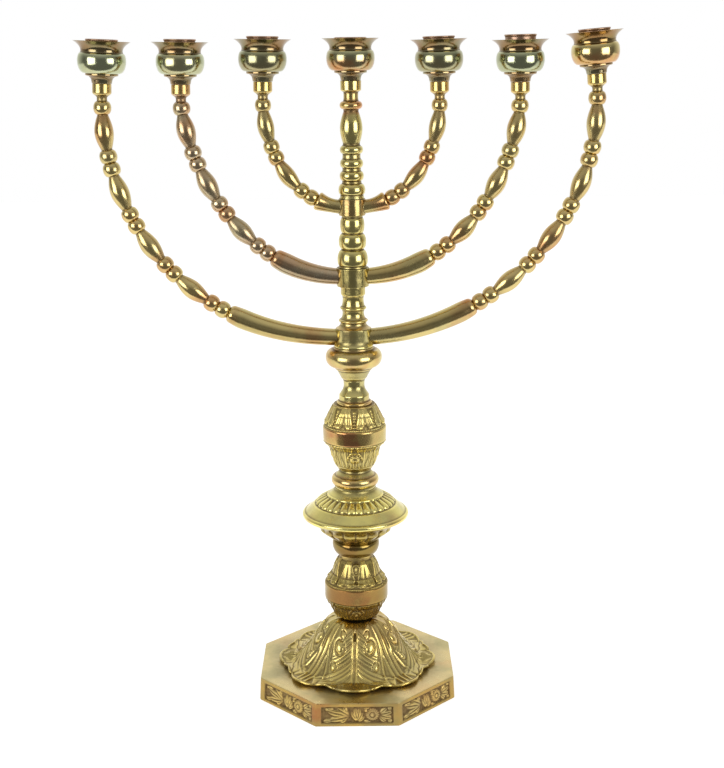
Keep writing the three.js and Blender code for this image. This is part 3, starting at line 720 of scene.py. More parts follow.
def oval_bud(x, y):
    """An oval ring round a kernel, over a small sprig of three leaves."""
    oval = np.hypot(x / BUD_OVAL[0], y / BUD_OVAL[1])
    kernel = np.hypot(x / BUD_KERNEL[0], y / BUD_KERNEL[1])
    shape = np.maximum(0.85 * ridge_line(oval - 0.8, 0.17), 1.05 * pillow(kernel))
    inside = smooth_step((1.05 - oval) / 0.1)
    for angle in (-90, 45, 135):
        leaf = petal(x, y, SPRIG_PLACE, angle, *SPRIG_LEAF)
        shape = np.maximum(shape, 1.25 * leaf)
        inside = np.maximum(inside, leaf > 0.05)
    return shape, inside


def shell_rosette(x, y, radius):
    """Rings round a knob, under an arch of the same middle and 1.5 times the radius."""
    r = np.hypot(x, y) / radius
    disc = pillow(r) * (0.75 + 0.2 * np.cos(TURN * 1.4 * r))
    shape = np.maximum(disc, 1.25 * pillow(np.hypot(x, y + 0.2 * radius) / (0.34 * radius)))
    arch = 0.85 * ridge_line(r - 1.5, 0.16) * smooth_step(y / radius + 0.6)
    flutes = 0.35 * (0.5 + 0.5 * np.cos(14 * np.arctan2(x, y))) * window(r, 1.05, 1.4, 0.1)
    inside = smooth_step((1.72 - r) / 0.12) * smooth_step(y / radius + 1.1)
    return np.maximum(shape, arch + flutes * smooth_step(y / radius + 0.6)), inside


def knop_relief(node, line, share, depth):
    """Leaves hang from the top, with a bud in every second gap on the lower knop, and strings of beads in
    the gaps on the upper one. Fine beads run under them, and pointed leaves with four rosettes below the
    plain band. Returns how far each point stands off the line, and off the axis."""
    knop = KNOPS[node]
    turn = turns(KNOP_COLUMNS)[None, :]
    radius = line[:, :1] / MM
    way = way_along(line)[:, None] / MM

    def place(height_share):
        """Way along the line at a share of the height."""
        return np.interp(height_share, share[:, 0], way[:, 0])

    def side(count, shift=0.0):
        """Length across the nearest of count motifs."""
        return across(turn, count, shift) * math.pi / count * radius

    half = math.pi / OCTAGON * radius
    start, end = knop["leaf_zone"]
    v = (place(start) - way) / (place(start) - place(end))
    width, *form = knop["leaf"]
    lift, leaves = hanging_leaf(side(OCTAGON, 0.5), v, width * half, *form)
    lift = lift * leaves
    if node == "lower_knop":
        bud, inside = oval_bud(side(4), way - place(start + (end - start) * 0.33))
        lift = lift + (bud - lift) * inside
    else:
        along = (way + STRING_PITCH / 2) % STRING_PITCH - STRING_PITCH / 2
        string = np.hypot(side(OCTAGON), along) / STRING_BEAD
        lift = np.maximum(lift, 0.75 * pillow(string) * window(v, 0.12, 0.95, 0.05))
    leaves = leaves * window(share, end, start, 0.015)
    lift = lift * window(share, end, start, 0.015)

    low, high = knop["tongue_zone"]
    v = (place(high) - way) / (place(high) - place(low))
    tongues = pointed_leaf(side(OCTAGON, 0.5), v, 0.98 * half)
    tongues = np.maximum(tongues, 0.6 * pointed_leaf(side(2 * OCTAGON, 0.5), 1 - v, 0.45 * half))
    rosette, inside = shell_rosette(side(4), way - place(low + (high - low) * 0.4), ROSETTE_RADIUS)
    tongues = tongues + (rosette - tongues) * inside
    lift = lift + tongues * window(share, low, high, 0.02)
    relief_zone = window(share, low, start, 0.02)

    bead_y = (way - place(knop["beading"])) / BEAD_RADIUS
    near = window(bead_y, -1.4, 1.4, 0.4)
    lift = lift * (1 - near) + near * 0.55 * pillow(np.hypot(side(BEADS) / BEAD_RADIUS, bead_y))
    (low, wide), (high, narrow) = knop["leaf_back"]
    back = (wide + (narrow - wide) * (share - low) / (high - low)) * radius.max() - radius
    proud = leaves * np.clip(back, 0, None) * ((share > low) & (share < high)) * MM
    return (lift - KNOP_GROUND) * depth * relief_zone, proud


def add_knops(sizes, materials):
    """Both knops. The relief stands on their turned shapes, and the band between leaves and tongues is
    plain."""
    turn = turns(KNOP_COLUMNS)[None, :]
    for node, knop in KNOPS.items():
        line, share = turned(node, CARVED_STEP)
        lift, proud = knop_relief(node, line, share, sizes.leaf_depth)
        plain = window(share, *knop["band"], 0.02)
        collar = window(share, knop["leaf_zone"][0], 1.2, 0.02)
        amount, centre, spread = knop["warmth"]
        tints = dict(
            warm=plain * amount * ridge_line(turn_from(turn, centre), spread),
            gilt=collar,
            # Painted shade from the knop's table, and none on the collar
            shade=np.interp(share, *knop["shades"]) * (1 - collar),
        )
        lift = lift * (1 - plain)
        drilled(node, materials["cast"], line, KNOP_COLUMNS, ROD_HOLE, lift, proud, **tints)


def disc_relief(share, depth):
    """Tongues on the slope above the rim, with round ends at the rim, and a row of broader ones under it.
    A fine roll runs round the lip of the cove. share is the height's."""
    turn = turns(DISC_COLUMNS)[None, :]
    start, end = GADROON_ZONE_SHARES
    v = (end - share) / (end - start)
    narrow = 0.62 + 0.38 * smooth_step(v / 0.7)
    q = np.hypot(across(turn, GADROONS, 0.5) / (0.94 * narrow), np.clip((v - 0.72) / 0.26, 0, None))
    lift = window(share, start - 0.01, end, 0.02) * (pillow(q) * (0.5 + 0.6 * v) - 0.75)
    lift = lift + 0.35 * ridge_line((share - end - 0.004) / 0.008, 1)
    lower = pillow(across(turn, LOWER_TONGUES, 0.5) / 0.97)
    return depth * (lift + 1.3 * window(share, *LOWER_TONGUE_SHARES, 0.05) * (lower - 0.8))


def add_disc(sizes, materials):
    """The wide disc, with painted shade underneath."""
    line, share = turned("drip_disc", CARVED_STEP)
    lift = disc_relief(share, sizes.gadroon_depth)
    # Painted shade under the disc
    shade = np.interp(share, *DISC_SHADES)
    drilled("drip_disc", materials["disc"], line, DISC_COLUMNS, ROD_HOLE, lift, shade=shade)


def tint(table, node, share):
    """A turning's tint from a table: an amount between two shares of the height, and none outside."""
    low, high, amount = table.get(node, (0, 1, 0))
    return amount * window(share, low, high, 0.03)


def add_stem(materials):
    """The plain turnings of the stem, the hubs and the rings."""
    for node in OUTLINE_SHARES:
        if node not in SLOT_OF or node in KNOPS or node == "drip_disc":
            continue
        line, share = turned(node)
        bore = SCREW_HOLE if node == "stem_top" else ROD_HOLE
        tints = dict(warm=tint(WARM_SHARES, node, share), shade=tint(SHADE_SHARES, node, share))
        drilled(node, materials["stem"], line, STEM_COLUMNS, bore, **tints)


def arm_pattern(arch, olives, length):
    """Way back from the tip and radius of an arm's turned pattern, and the length of its plain tube. The
    tube swells on from its round shoulder and then narrows to the hub."""
    bead = ("bead", arch["bead_length"], WAIST_RADIUS, arch["bead_radius"] - WAIST_RADIUS)
    olive = ("swell", arch["olive_length"], WAIST_RADIUS, arch["olive_radius"] - WAIST_RADIUS)
    rows = [
        ("cone", TIP_COLLAR_STRAIGHT, TIP_COLLAR_RADIUS),
        ("ogee", TIP_COLLAR_ROUND, ARM_NECK_RADIUS),
        ("cone", ARM_NECK_LENGTH, ARM_NECK_RADIUS),
        bead,
        *([olive, bead, bead] * olives),
    ]
    tube = length - sum(row[1] for row in rows)
    plain = tube - arch["shoulder_length"] - arch["swell_length"]
    rows.append(("round", arch["shoulder_length"], SHOULDER_SHARE * arch["shoulder_radius"]))
    rows.append(("cove", arch["swell_length"], arch["shoulder_radius"]))
    rows.append(("swell", plain, arch["tube_radius"], -arch["tube_dip"]))
    return moulded(TIP_COLLAR_RADIUS, rows), tube


def arm_line(arch, tip, lean, powers):
    """The middle line of an arm in its own plane, from the hub's middle to the tip: straight, a quarter of
    the oval |x|^p + |y|^q = 1 with p and q the two powers, straight up, and leaning in."""
    lean_length = TIP_COLLAR_STRAIGHT + TIP_COLLAR_ROUND + ARM_NECK_LENGTH
    start = arch["arc_start"]
    reach = tip[0] + lean_length * math.sin(lean)
    knee = tip[1] - lean_length * math.cos(lean)
    springing = knee + lean_length - arch["straight"]
    t = np.linspace(0, 1, BEND_STEPS)
    out = quarter(t) ** (2 / powers[0])
    up = 1 - quarter(1 - t) ** (2 / powers[1])
    curve = np.stack([start + (reach - start) * out, springing * up], axis=1)
    points = np.concatenate([[[0.0, 0.0]], curve, [[reach, knee], tip]])
    keep = np.concatenate([[True], np.linalg.norm(np.diff(points, axis=0), axis=1) > 1e-7])
    return fine_line(points[keep], LINE_STEP, BEND_ROUNDING)


def arm_grid(node):
    """An arm: its pattern carried along its line, and its inner end shaped to the hub."""
    pair, joint_name, powers, flush, dull, _ = ARMS[node]
    arch = {key: value * MM for key, value in ARCHES[pair].items()}
    cup = JOINTS[joint_name]
    hub_height = JOINTS[pair + "_arms_turn"]["pos_m"][2]
    side = math.copysign(1, cup["pos_m"][0])
    tip = [abs(cup["pos_m"][0]), cup["pos_m"][2] - hub_height]
    line = arm_line(arch, tip, math.asin(abs(cup["axis"][0])), powers)
    way = way_along(line)
    foot, top, radius = measure(HUBS[pair])
    hub = outline(HUBS[pair], radius, top - foot, foot - hub_height)
    pattern, tube_length = arm_pattern(arch, OLIVES[pair], way[-1] - radius / 2)
    pattern = fine_line(pattern, LINE_STEP, 0.8 * EDGE_ROUND)
    girth = pattern[:, :1]
    back = pattern[:, 1:]
    place = np.stack([np.interp(way[-1] - pattern[:, 1], way, column) for column in line.T], axis=1)
    direction = -np.gradient(place, axis=0)
    direction /= np.linalg.norm(direction, axis=1, keepdims=True)

    # Rows run from the tip to the hub, so the ring turns clockwise seen from the tip.
    angle = turns(ARM_COLUMNS)[None, :]
    inward = -side * girth * np.cos(angle)
    x = place[:, :1] + inward * -direction[:, 1:]
    y = -girth * np.sin(angle)
    z = place[:, 1:] + inward * direction[:, :1]
    reach = np.interp(z, hub[:, 1], hub[:, 0]) + ARM_SEAT
    x = np.maximum(x, np.sqrt(np.maximum(reach**2 - y**2, 0)))
    points = np.stack([side * x, y, z + hub_height], axis=-1)

    from_shoulder = (back - (back[-1] - tube_length)) / MM
    warm = flush * smooth_step(1 - from_shoulder / ARM_SHOULDER_FADE)
    blushes = ((from_shoulder, ARM_BLUSH_BEHIND), (back / back[-1], ARM_BLUSH_BETWEEN))
    for way_back, (amount, *zone) in blushes:
        warm = warm + amount * window(way_back, *zone)
    gilt = window(back, -MM, TIP_COLLAR_STRAIGHT, MM)
    # A painted dark reflection on the plain tube below its middle
    under = window(np.cos(angle), *ARM_DARK_BAND_ZONE) * smooth_step(from_shoulder / ARM_SHOULDER_FADE)
    grid = Grid(points, warm, gilt, (dull + ARM_PAINTED_DARK_BAND * under) * (1 - gilt))
    rim = (points[0] - points[0].mean(axis=0)) * (SCREW_HOLE / pattern[0, 0])
    deep = np.searchsorted(pattern[:, 1], SCREW_DEPTH)
    return grid.extend([points[row].mean(axis=0) + rim for row in (deep, 0)])


def add_arms(materials):
    """The six arms."""
    for node in ARMS:
        build(node, arm_grid(node), materials[ARMS[node][-1]])


# Cups: heights are taken from the arm's tip along the cup's own axis


def cup_foot_grid(seat):
    """The foot of a cup. seat is the height of the middle cup's tip."""
    foot, top, radius = measure("cup_foot_4")
    line = outline("cup_foot", radius, top - foot, foot - seat)
    # Painted shade on the foot under the bowl
    grid = Grid(revolve(line, CUP_COLUMNS), warm=CUP_FOOT_WARM, shade=CUP_FOOT_SHADE)
    ends = [circle(SCREW_HOLE, height, CUP_COLUMNS) for height in line[[0, -1], 1]]
    return grid.extend(ends[:1], ends[1:])


def cup_bowl_grid(seat, tints):
    """The bowl of a cup: its outside, the dish inside its rim, the liner's bore and the screw's hole."""
    foot, top, radius = measure("cup_bowl_4")
    low = foot - seat
    rim = top - seat
    outside = outline("cup_bowl", radius, rim - low, low)
    inside = [
        [radius - BOWL_LIP, rim],
        [LINER_BORE + BOWL_DISH_WIDTH, rim - 0.7 * BOWL_DISH],
        [LINER_BORE, rim - BOWL_DISH],
        [LINER_BORE, low + BOWL_FLOOR],
    ]
    line = np.concatenate([outside, fine_line(np.array(inside), LINE_STEP, EDGE_ROUND)])
    share = ((line[:, 1] - low) / (rim - low))[:, None]
    flush, gilt, dull = tints
    rim_part = window(share, *RIM_ZONE)
    warm = flush * window(share, *BELLY_ZONE) + RIM_WARM * rim_part
    # Painted shade on the rim, or the cup's own darker tone where that is more
    shade = np.maximum(dull, RIM_SHADE * rim_part)
    shade[len(outside) :] *= INSIDE_SHADE
    grid = Grid(revolve(line, CUP_COLUMNS), warm, gilt, shade)
    return grid.extend(after=[circle(SCREW_HOLE, height, CUP_COLUMNS) for height in (low + BOWL_FLOOR, low)])


def liner_grid(bottom, top, lip_radius):
    """A candle liner: floor, wall, rolled lip and inside."""
    radius = lip_radius - LINER_SHOULDER
    inner = radius - LINER_WALL
    floor = bottom + LINER_FLOOR
    edge = LINER_EDGE
    lip = np.linspace(-math.pi / 2, math.pi / 2, LINER_LIP_ROWS)
    lip_height = top - LINER_LIP / 2 + LINER_LIP / 2 * np.sin(lip)
    below = [[edge, bottom], [radius - edge, bottom], [radius, bottom + edge]]
    rolled = np.stack([radius + LINER_SHOULDER * np.cos(lip), lip_height], axis=1)
    within = [[inner + LINER_MOUTH, top], [inner, top - edge], [inner, floor], [edge, floor]]
    line = fine_line(np.concatenate([below, rolled, within]), LINE_STEP, 0.4 * EDGE_ROUND)
    return Grid(revolve(line, CUP_COLUMNS))


def screw_grid(head):
    """A cup screw, whose head starts at a height."""
    top = head + SCREW_HEAD_HEIGHT - SCREW_HEAD_GAP
    line = [
        [SCREW_POLE, -SCREW_DEPTH],
        [SCREW_RADIUS, -SCREW_DEPTH],
        [SCREW_RADIUS, head],
        [SCREW_HEAD_RADIUS, head],
        [SCREW_HEAD_RADIUS, top],
        [SCREW_POLE, top],
    ]
    return Grid(revolve(fine_line(np.array(line), 2 * LINE_STEP, 0), ROD_COLUMNS))


def add_cups(materials):
    """Seven feet, bowls, liners and screws. The middle cup stands upright, so its boxes give the sizes of
    all seven, and only the liners differ in height."""
    seat = JOINTS["cup_4_turn"]["pos_m"][2]
    floor = measure("cup_bowl_4")[0] - seat + BOWL_FLOOR
    lip_radius = measure("candle_liner_4")[2]
    for number in range(1, CUPS + 1):
        joint = JOINTS[f"cup_{number}_turn"]
        lean = math.asin(joint["axis"][0])
        matrix = Matrix.Translation(joint["pos_m"]) @ Matrix.Rotation(lean, 4, "Y")
        # The box's top is the lip's high side, which a lean raises by the lip's radius times its sine.
        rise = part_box(f"candle_liner_{number}")[1].z - joint["pos_m"][2]
        top = (rise - lip_radius * math.sin(abs(lean))) / math.cos(lean)
        pieces = (
            ("cup_foot", cup_foot_grid(seat), "cup", True),
            ("cup_bowl", cup_bowl_grid(seat, CUP_TINTS.get(number, (0, 0, 0))), "cup", True),
            ("candle_liner", liner_grid(floor + RUNNING_GAP, top, lip_radius), "liner", False),
            ("cup_screw", screw_grid(floor - SCREW_HEAD_HEIGHT), "steel", False),
        )
        for name, grid, finish, loop in pieces:
            build(f"{name}_{number}", grid.placed(matrix), materials[finish], loop)


def foot_surface(reach, height, relief):
    """Radius and height of the foot's outside. Rows run from the lip to the top. The line is blended
    between a notch and a tip of the scalloped edge, and stalks, veins and fans are raised on it."""
    turn = turns(FOOT_COLUMNS)[None, :]
    big_lobe = np.cos(math.pi / 2 * across(turn, OCTAGON)) ** 1.2
    small_lobe = pillow(across(turn, OCTAGON, 0.5) / 0.38)
    edge = FOOT_NOTCH_RADIUS + (reach - FOOT_NOTCH_RADIUS) * big_lobe + FOOT_SMALL_LOBE * small_lobe
    lift = FOOT_TIP_LIFT * (big_lobe**2 + 1.2 * small_lobe)

    # Radius, and share of the height
    core = [
        [FOOT_INNER_RIM + 1.6 * FOOT_WALL, 0.085],
        [FOOT_INNER_RIM - MM, 0.19],
        [FOOT_WAIST_RADIUS + 0.5 * MM, 0.45],
        [(FOOT_WAIST_RADIUS + FOOT_SHOULDER_RADIUS) / 2, 0.7],
        [FOOT_SHOULDER_RADIUS, 0.86],
        [(FOOT_SHOULDER_RADIUS + FOOT_TOP_RADIUS) / 2, 0.97],
        [FOOT_TOP_RADIUS, 1.0],
    ]
    core = fine_line(np.array(core) * [1, height], CARVED_STEP, FOOT_ROUNDING)
    t = np.linspace(0, 1, FOOT_SKIRT_ROWS, endpoint=False)[:, None]
    skirt = FOOT_EDGE + (core[0, 1] - FOOT_EDGE) * t**1.3 + lift * (1 - t) ** 2
    radius = np.concatenate([edge + (core[0, 0] - edge) * t, np.tile(core[:, :1], FOOT_COLUMNS)])
    z = np.concatenate([skirt, np.tile(core[:, 1:], FOOT_COLUMNS)])

    down = way_along(np.stack([radius[::-1, 0], z[::-1, 0]], axis=1))[::-1, None]
    carved = relief * foot_relief(across(turn, 4), radius / MM, down / MM)
    along_r = np.gradient(radius, axis=0)
    along_z = np.gradient(z, axis=0)
    carved = carved / np.hypot(along_r, along_z)
    return radius + carved * along_z, z - carved * along_r


def foot_relief(a, radius, way):
    """Relief of one of the four leaves of the foot, over millimetres. a runs from -1 to 1 round the
    quarter, and way is the distance down from the top. A split stalk runs down the middle. Veins leave it
    along curves side = c (way - start)^p, and three lobes of each half are zones of equal start. Lobes end
    in a bud and a curl. A ridge bounds the leaf, and plain metal lies between two leaves."""
    length = way[0, 0]
    x = np.abs(a) * math.pi / 4 * radius
    w = way + 0 * x
    start = w - (x / FOOT_VEIN_SPREAD) ** (1 / FOOT_VEIN_POWER)
    share = FOOT_LEAF_SHARE - FOOT_LEAF_NARROWS * smooth_step((w - 22) / 40)
    edge = (np.abs(a) - share) * math.pi / 4 * radius
    inside = smooth_step(0.5 - edge / FOOT_SOFT)
    rise = FOOT_RISE

    lift = rise["ground"] * inside * smooth_step((FOOT_GROUND_END - w) / 12)
    vein = (0.5 + 0.5 * np.cos(TURN * start / FOOT_VEIN_PITCH)) ** 0.8 * window(w, *FOOT_VEIN_ZONE)
    for first, last, reach, swell in FOOT_LOBES:
        lobe = window(start, first, last, FOOT_SOFT) * smooth_step((reach - x) / 1.8 + 0.5)
        lobe = lobe * np.maximum(inside, smooth_step((w - 50) / 6))
        hill = 0.35 + swell * np.sin(np.pi * np.clip((start - first) / (last - first), 0, 1))
        lift = np.maximum(lift, lobe * (hill + rise["vein"] * vein))
    for side, down, wide, tall, height in FOOT_BUDS:
        q = np.hypot((x - side) / wide, (w - down) / tall)
        lift = np.maximum(lift, height * pillow(q)) - 0.4 * ridge_line(q - 1.15, 0.16)

    gap = (1 - np.abs(a)) * math.pi / 4 * radius
    flutes = ridge_line(gap - FOOT_FLUTE_GAP, FOOT_FLUTE_WIDTH) * (1 - inside)
    flutes = ridge_line(gap, FOOT_FLUTE_WIDTH) + flutes
    lift = lift + rise["flute"] * flutes * window(w, 12, length - 4, 12)
    bound = ridge_line(edge, FOOT_BOUND_WIDTH) - 0.35 * ridge_line(edge + FOOT_GROOVE[0], FOOT_GROOVE[1])
    lift = lift + rise["bound"] * bound * window(w, *FOOT_BOUND_ZONE)
    collar = ridge_line(x - FOOT_COLLAR[0], FOOT_COLLAR[1])
    lift = lift + rise["collar"] * collar * window(w, *FOOT_COLLAR_ZONE)

    stalk = window(w, 9, length - 13, 14)
    lift = lift * (1 - 0.75 * stalk * smooth_step((FOOT_STALK_REACH - x) / 0.8))
    split = rise["stalk"] * ridge_line(x - FOOT_STALK_SIDE, FOOT_STALK_WIDTH) - 0.1 * ridge_line(x, 0.8)
    wide, down, tall = FOOT_DROP
    lift = lift + split * stalk - 1.2 * pillow(np.hypot(x / wide, (w - down) / tall))

    fan = window(w, length - 15, length - 1.5, 5) * smooth_step((FOOT_FAN_REACH - x) / 3)
    lift = lift + rise["fan"] * fan * (0.5 + 0.5 * np.cos(TURN * x / FOOT_FAN_PITCH))
    return lift + rise["lip"] * ridge_line(w - length + FOOT_LIP_WIDTH, FOOT_LIP_WIDTH) - 0.5


def add_foot(sizes, materials):
    """The leaf foot. Rows run out under it, round its lip and up its outside."""
    low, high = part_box("leaf_foot")
    height = high.z - low.z
    radius, z = foot_surface((high.x - low.x) / 2, height, sizes.foot_relief)
    angle = turns(FOOT_COLUMNS)[None, :] + FRONT + FOOT_TURN
    points = np.stack([radius * np.cos(angle), radius * np.sin(angle), z + low.z], axis=-1)
    grid = Grid(points, warm=0.08, shade=0.2)
    grid.marks["recess"] *= 0.8
    # Radius, and share of the height
    hollow = (
        (ROD_HOLE, 1 - FOOT_WALL / height),
        (FOOT_SHOULDER_RADIUS - FOOT_WALL, 0.75),
        (FOOT_SHOULDER_RADIUS + FOOT_WALL, 0.58),
        (FOOT_WAIST_RADIUS - FOOT_WALL, 0.37),
        (FOOT_INNER_RIM - FOOT_WALL, 0.12),
        (FOOT_INNER_RIM, 0.0),
    )
    before = [circle(out, low.z + share * height, FOOT_COLUMNS) for out, share in hollow]
    before.append(points[0] - [0, 0, FOOT_EDGE])
    grid.extend(before, [circle(ROD_HOLE, high.z, FOOT_COLUMNS)])
    grid.marks["recess"][: len(before)] = 0.3
    build("leaf_foot", grid, materials["cast"], loop=True)


# The ornament of a panel, in millimetres from its middle. Leaves: place, angle in degrees, length and width
PANEL_LEAVES = (
    ((-7, -1), 146, 13, 3.4), ((-6.5, -1), 168, 20, 3.6), ((-7, -2), 190, 19, 3.4), ((-9, -3), 214, 9, 2.6),
    ((-9, 2.5), 118, 6, 2.2), ((-20, 4.2), 165, 8, 2), ((-21, -4.6), 190, 9, 2.2), ((0, -6.8), 62, 10, 2.1),
    ((0, -6.8), 80, 13, 2.2), ((0, -6.8), 99, 13.5, 2.2), ((0, -6.8), 118, 11, 2.1),
    ((0.5, -6.6), 38, 7.5, 1.8), ((5.2, 6.6), 345, 9, 1.8), ((5, -6.4), 8, 9, 1.8), ((19.5, 1), 40, 9, 2.4),
    ((19.8, 0), 14, 11.5, 2.6), ((19.8, -0.8), -14, 11, 2.6), ((19.2, -2), -42, 8, 2.3),
    ((26, 5.6), 5, 5, 1.6), ((26, -5.8), -3, 5, 1.6),
)
# The flower's place, radius and number of petals, and each boss's place and radius
PANEL_FLOWER = ((13.2, 0), 6.4, 17)
PANEL_BOSSES = ((-26.5, 5.4, 1.6), (-1, -3.6, 2), (7.6, 3.6, 1.5), (-13, -6.2, 1.4))


def panel_relief(x, y):
    """A spray of leaves on the left of a panel, a tied sprig, a round flower, and leaves on the right."""
    lift = np.zeros_like(x)
    for leaf in PANEL_LEAVES:
        lift = np.maximum(lift, 0.95 * petal(x, y, *leaf))
    place, size, petals = PANEL_FLOWER
    r = np.hypot(x - place[0], y - place[1]) / size
    rays = 0.5 + 0.5 * np.cos(petals * np.arctan2(y - place[1], x - place[0]))
    flower = pillow(r / (0.93 + 0.07 * rays)) * (0.8 + 0.2 * rays) * (1 - 0.3 * ridge_line(r - 0.36, 0.08))
    lift = np.where(r < 1.05, flower * 1.02, lift)
    for side, up, size in PANEL_BOSSES:
        lift = np.maximum(lift, pillow(np.hypot(x - side, y - up) / size))
    return lift


def base_columns(half_side):
    """Places along one side of the base, from -1 to 1, closer together at the panel's edges."""
    edge = 1 - PANEL_SIDE_MARGIN / half_side
    bevel = PANEL_BEVEL / half_side
    tiny = 0.3 * MM / half_side
    panel = np.linspace(-edge + bevel, edge - bevel, PANEL_COLUMNS)
    post = np.array([1 - tiny, 1 - 3 * tiny, 1 - 8 * tiny, edge + 2 * tiny, edge])
    return np.concatenate([[-1], -post, panel, post[::-1]])


def base_rows(height):
    """Places up the side of the base, closer together at the panel's edges."""
    low = PANEL_BOTTOM_MARGIN
    high = height - PANEL_TOP_MARGIN
    inner = np.linspace(low + PANEL_BEVEL, high - PANEL_BEVEL, PANEL_ROWS)
    ends = [0, 0.3 * MM, 0.9 * MM, low - 0.5 * MM, low]
    tops = [high, high + 0.5 * MM, height - 1.1 * MM, height - 0.5 * MM, height - 0.15 * MM]
    return np.concatenate([ends, inner, tops])


def add_base(sizes, materials):
    """The octagonal base. Columns run round its eight sides, and rows up the sides, over the top, down
    the rod's hole, and back under the top and inside the walls."""
    low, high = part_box("base_plate")
    height = high.z - low.z
    flat = math.cos(math.pi / OCTAGON)
    corner = (high.x - low.x) / 2 / flat
    half_side = (corner - BASE_DRAFT) * math.sin(math.pi / OCTAGON)
    one_side = base_columns(half_side)
    share = np.tile(one_side, OCTAGON)[None, :]
    facing = FRONT + np.repeat(np.arange(OCTAGON), len(one_side))[None, :] * TURN / OCTAGON
    along = facing + math.pi / 2
    x = share * half_side
    y = base_rows(height)[:, None]

    def ring(apothem, spread, z):
        """Points of an octagon with the given apothem. spread scales the places along each side."""
        u = share * apothem * math.tan(math.pi / OCTAGON) * spread
        points = [apothem * np.cos(facing) + u * np.cos(along), apothem * np.sin(facing) + u * np.sin(along)]
        return np.stack([*points, z + 0 * u], axis=-1)

    panel_top = height - PANEL_TOP_MARGIN
    in_panel = smooth_step((half_side - PANEL_SIDE_MARGIN - np.abs(x)) / PANEL_WALL)
    in_panel = in_panel * smooth_step(np.minimum(y - PANEL_BOTTOM_MARGIN, panel_top - y) / PANEL_WALL)
    middle = (PANEL_BOTTOM_MARGIN + panel_top) / 2
    flowers = panel_relief((x + 0 * y) / MM, (y - middle + 0 * x) / MM)
    sunk = sizes.panel_depth * in_panel * (1 - 0.98 * np.clip(flowers, 0, 1.05))
    near_edge = np.clip(1 - np.minimum(y, height - y) / (2 * BASE_EDGE), 0, 1)
    rounding = BASE_EDGE * (1 - pillow(near_edge))
    apothem = (corner - BASE_DRAFT * y / height) * flat - rounding - sunk
    points = ring(apothem, 1 + (rounding + sunk) / (corner * flat), y + low.z)
    from_corner = (1 - np.abs(share)) * half_side
    nip = CORNER_WEAR * (1 - np.clip(from_corner / CORNER_REACH, 0, 1)) ** 2
    radial = points[..., :2] / np.linalg.norm(points[..., :2], axis=-1, keepdims=True)
    points[..., :2] -= radial * nip[..., None]
    plate = [ring((corner - BASE_DRAFT) * flat - inset, 1.0, high.z) for inset in BASE_TOP_RINGS]
    points = np.concatenate([points, *plate])

    spot = turn_from(np.arctan2(points[:1, :, 1], points[:1, :, 0]) - FRONT, -BASE_WARM_TURN)
    warm = (BASE_WARM_SPOT * ridge_line(spot, BASE_WARM_SPREAD) + BASE_WARM_REST) * (1 - in_panel)
    warm = warm * smooth_step(y / BASE_WARM_HEIGHT)
    gilt = smooth_step((height - y) / BASE_GILT_EDGE) + 0 * warm
    shade = gilt * (BASE_FRAME_SHADE + (BASE_PANEL_SHADE - BASE_FRAME_SHADE) * in_panel)
    tints = (warm + BASE_PANEL_WARM * in_panel * (1 - flowers), gilt, shade)
    top_rows = np.zeros((len(plate), points.shape[1]))
    grid = Grid(points, *(np.concatenate([mark, top_rows]) for mark in tints))
    recess = grid.marks["recess"][: len(y)]
    recess[:] = np.maximum(recess, BASE_PANEL_DIRT * in_panel * np.clip(1.1 - 1.3 * flowers, 0, 1))
    inner = corner * flat - BASE_WALL
    ceiling = high.z - BASE_TOP
    hollow = ((ROD_HOLE, high.z), (ROD_HOLE, ceiling), (inner, ceiling), (inner, low.z))
    grid.extend(after=[ring(out, 1.0, z) for out, z in hollow])
    build("base_plate", grid, materials["base"], loop=True)


def add_fasteners(materials):
    """The tie rod, its washer and its nut."""
    steel = materials["steel"]
    foot, top, radius = measure("tie_rod")
    soft = ROD_END_ROUND
    rod = [[soft, foot], [radius - soft, foot], [radius, foot + soft], [radius, top - soft], [soft, top]]
    build("tie_rod", Grid(revolve(fine_line(np.array(rod), ROD_STEP, 0), ROD_COLUMNS)), steel)

    foot, top, radius = measure("base_washer")
    edge = WASHER_EDGE
    washer = [[radius - edge, foot], [radius, foot + edge], [radius, top - edge], [radius - edge, top]]
    drilled("base_washer", steel, np.array(washer), STEM_COLUMNS, ROD_HOLE)

    low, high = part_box("base_nut")
    across_corners = max(high.x - low.x, high.y - low.y) / 2
    shift = 0 if high.y - low.y >= high.x - low.x else math.pi / 6
    rows = np.linspace(low.z, high.z, NUT_ROWS)
    local = (turns(NUT_COLUMNS)[None, :] + shift) % (math.pi / 3) - math.pi / 6
    flats = across_corners * (math.cos(math.pi / 6) / np.cos(local) - 1)
    end = np.minimum(rows - low.z, high.z - rows)[:, None]
    lift = np.minimum(flats, -NUT_CHAMFER * np.clip(1 - end / NUT_CHAMFER, 0, 1))
    line = np.stack([np.full(NUT_ROWS, across_corners), rows], axis=1)
    drilled("base_nut", steel, line, NUT_COLUMNS, ROD_HOLE, lift)


# Materials


def add(tree, kind, inputs=None, **settings):
    """A new node. Its inputs are given as values or as sockets to link from."""
    node = tree.nodes.new(kind)
    for key, value in settings.items():
        setattr(node, key, value)
    for key, value in (inputs or {}).items():
        if isinstance(value, bpy.types.NodeSocket):
            tree.links.new(value, node.inputs[key])
        else:
            node.inputs[key].default_value = value
    return node


def blend(tree, factor, first, second, mode="MIX"):
    """A colour between two, by a factor."""
    values = {0: factor, 6: first, 7: second}
    return add(tree, "ShaderNodeMix", values, data_type="RGBA", blend_type=mode).outputs[2]


def sums(tree, operation, first, second, third=0.5, clamp=False):
    """One step of arithmetic. MULTIPLY_ADD is first times second plus third."""
    values = {0: first, 1: second, 2: third}
    return add(tree, "ShaderNodeMath", values, operation=operation, use_clamp=clamp).outputs[0]


